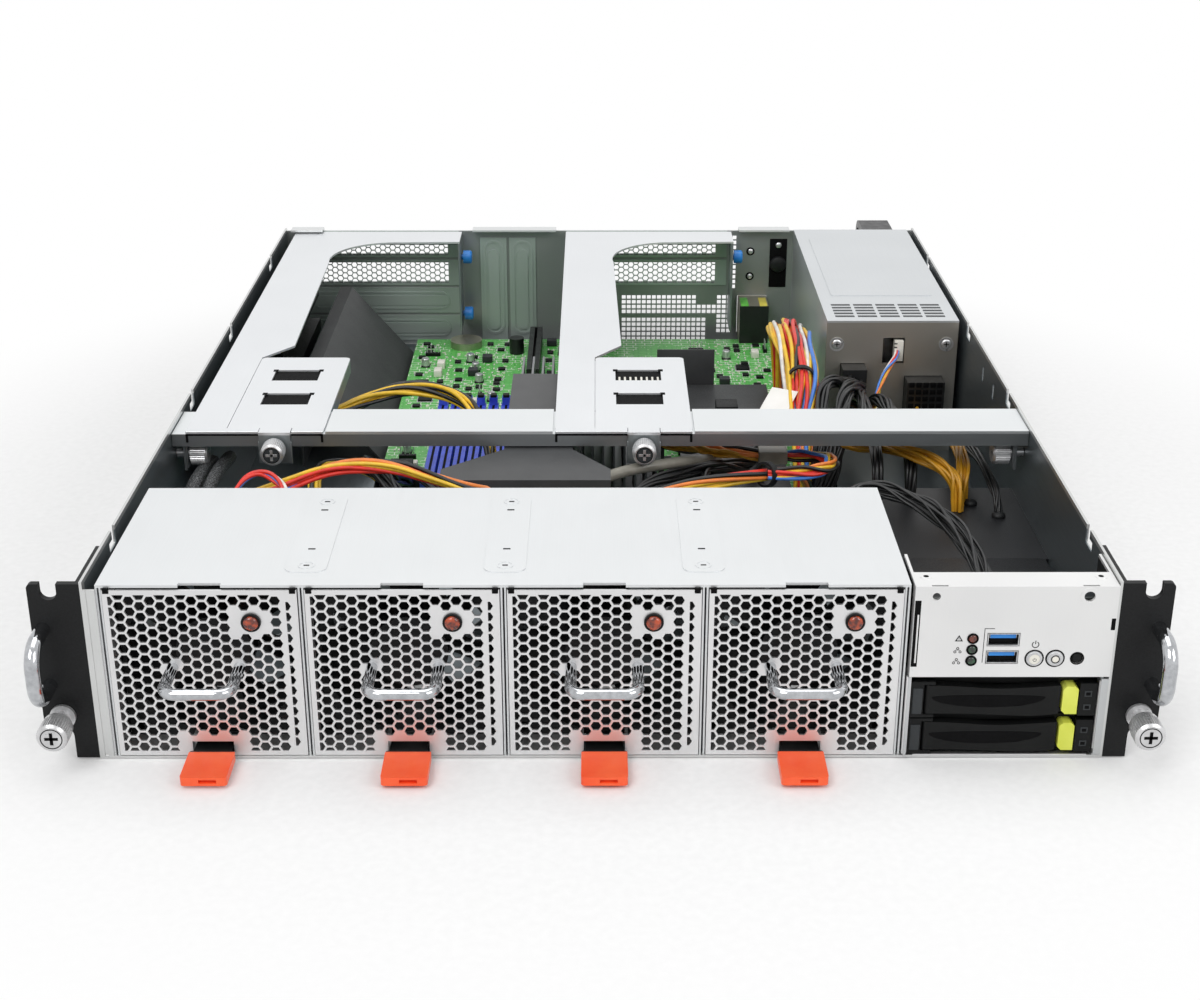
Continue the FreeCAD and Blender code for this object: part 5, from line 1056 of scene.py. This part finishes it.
def stand_camera():
    lens = bpy.data.cameras.new("camera")
    lens.lens = 55.15
    lens.sensor_width = 36.0
    lens.clip_end = 50.0
    camera = new_object("camera", lens)
    camera.location = (-1.9 * MM, -694.8 * MM, 425.2 * MM)
    camera.rotation_euler = (math.radians(90.0 - 23.60), 0.0, math.radians(-0.112))
    bpy.context.scene.camera = camera


def seen_ray(tree):
    """1 for rays from the camera or a glossy face, and the light path they come by."""
    ray = add(tree, "LightPath").outputs
    return add(tree, "Math", {0: ray["Is Camera Ray"], 1: ray["Is Glossy Ray"]}, operation="MAXIMUM"), ray


def lay_floor():
    """A sheet of white paper that takes the shadow near the case and runs out into plain white."""
    lay_down()
    bpy.ops.mesh.primitive_plane_add(size=14.0, location=(0.0, 0.0, -0.0004))
    floor = bpy.context.active_object
    floor.name = "floor"
    material, tree, place, fibre = begin("white_paper_floor", 4.0)
    tint = add(tree, "ValToRGB", {"Fac": fibre}, ramp=(0.84, 0.88))
    sheet = add(tree, "BsdfPrincipled", {"Base Color": tint, "Roughness": 0.9})
    middle = add(tree, "VectorMath", {0: place, 1: (0.0, 0.26, 0.0)}, operation="DISTANCE")
    away = add(tree, "MapRange", {"Value": middle, "From Min": 0.28, "From Max": 0.52},
               interpolation_type="SMOOTHSTEP")
    glow = add(tree, "Emission", {"Color": tone(1.0), "Strength": 1.0})
    seen, ray = seen_ray(tree)
    share = add(tree, "Math", {0: away, 1: seen}, operation="MULTIPLY")
    mix = add(tree, "MixShader", {"Fac": share, 1: sheet, 2: glow})
    add(tree, "OutputMaterial", {"Surface": mix})
    floor.data.materials.append(material)


def soft_box(name, place, aim, size, power):
    light = bpy.data.lights.new(name, "AREA")
    light.shape = "RECTANGLE"
    light.size, light.size_y = size
    light.energy = power
    lamp = new_object(name, light)
    lamp.location = place
    lamp.rotation_euler = (Vector(aim) - Vector(place)).to_track_quat("-Z", "Y").to_euler()


def light_studio():
    world = bpy.data.worlds.new("studio")
    bpy.context.scene.world = world
    world.use_nodes = True
    tree = world.node_tree
    tree.nodes.clear()
    seen, ray = seen_ray(tree)
    shown = add(tree, "Math", {0: seen, 1: ray["Is Transmission Ray"]}, operation="MAXIMUM")
    strength = add(tree, "MapRange", {"Value": shown, "To Min": 0.42, "To Max": 1.0})
    sky = add(tree, "Background", {"Color": tone(1.0), "Strength": strength})
    add(tree, "OutputWorld", {"Surface": sky})
    soft_box("key_light", (-0.9, -1.3, 1.8), (0.0, 0.2, 0.05), (1.2, 1.2), 22.0)
    soft_box("fill_light", (1.3, -0.9, 1.1), (0.0, 0.2, 0.05), (1.0, 1.0), 10.0)
    soft_box("top_light", (0.0, 0.5, 1.9), (0.0, 0.28, 0.0), (1.6, 1.6), 13.0)


stand_camera()
lay_floor()
light_studio()
bpy.context.scene.view_settings.view_transform = "Standard"
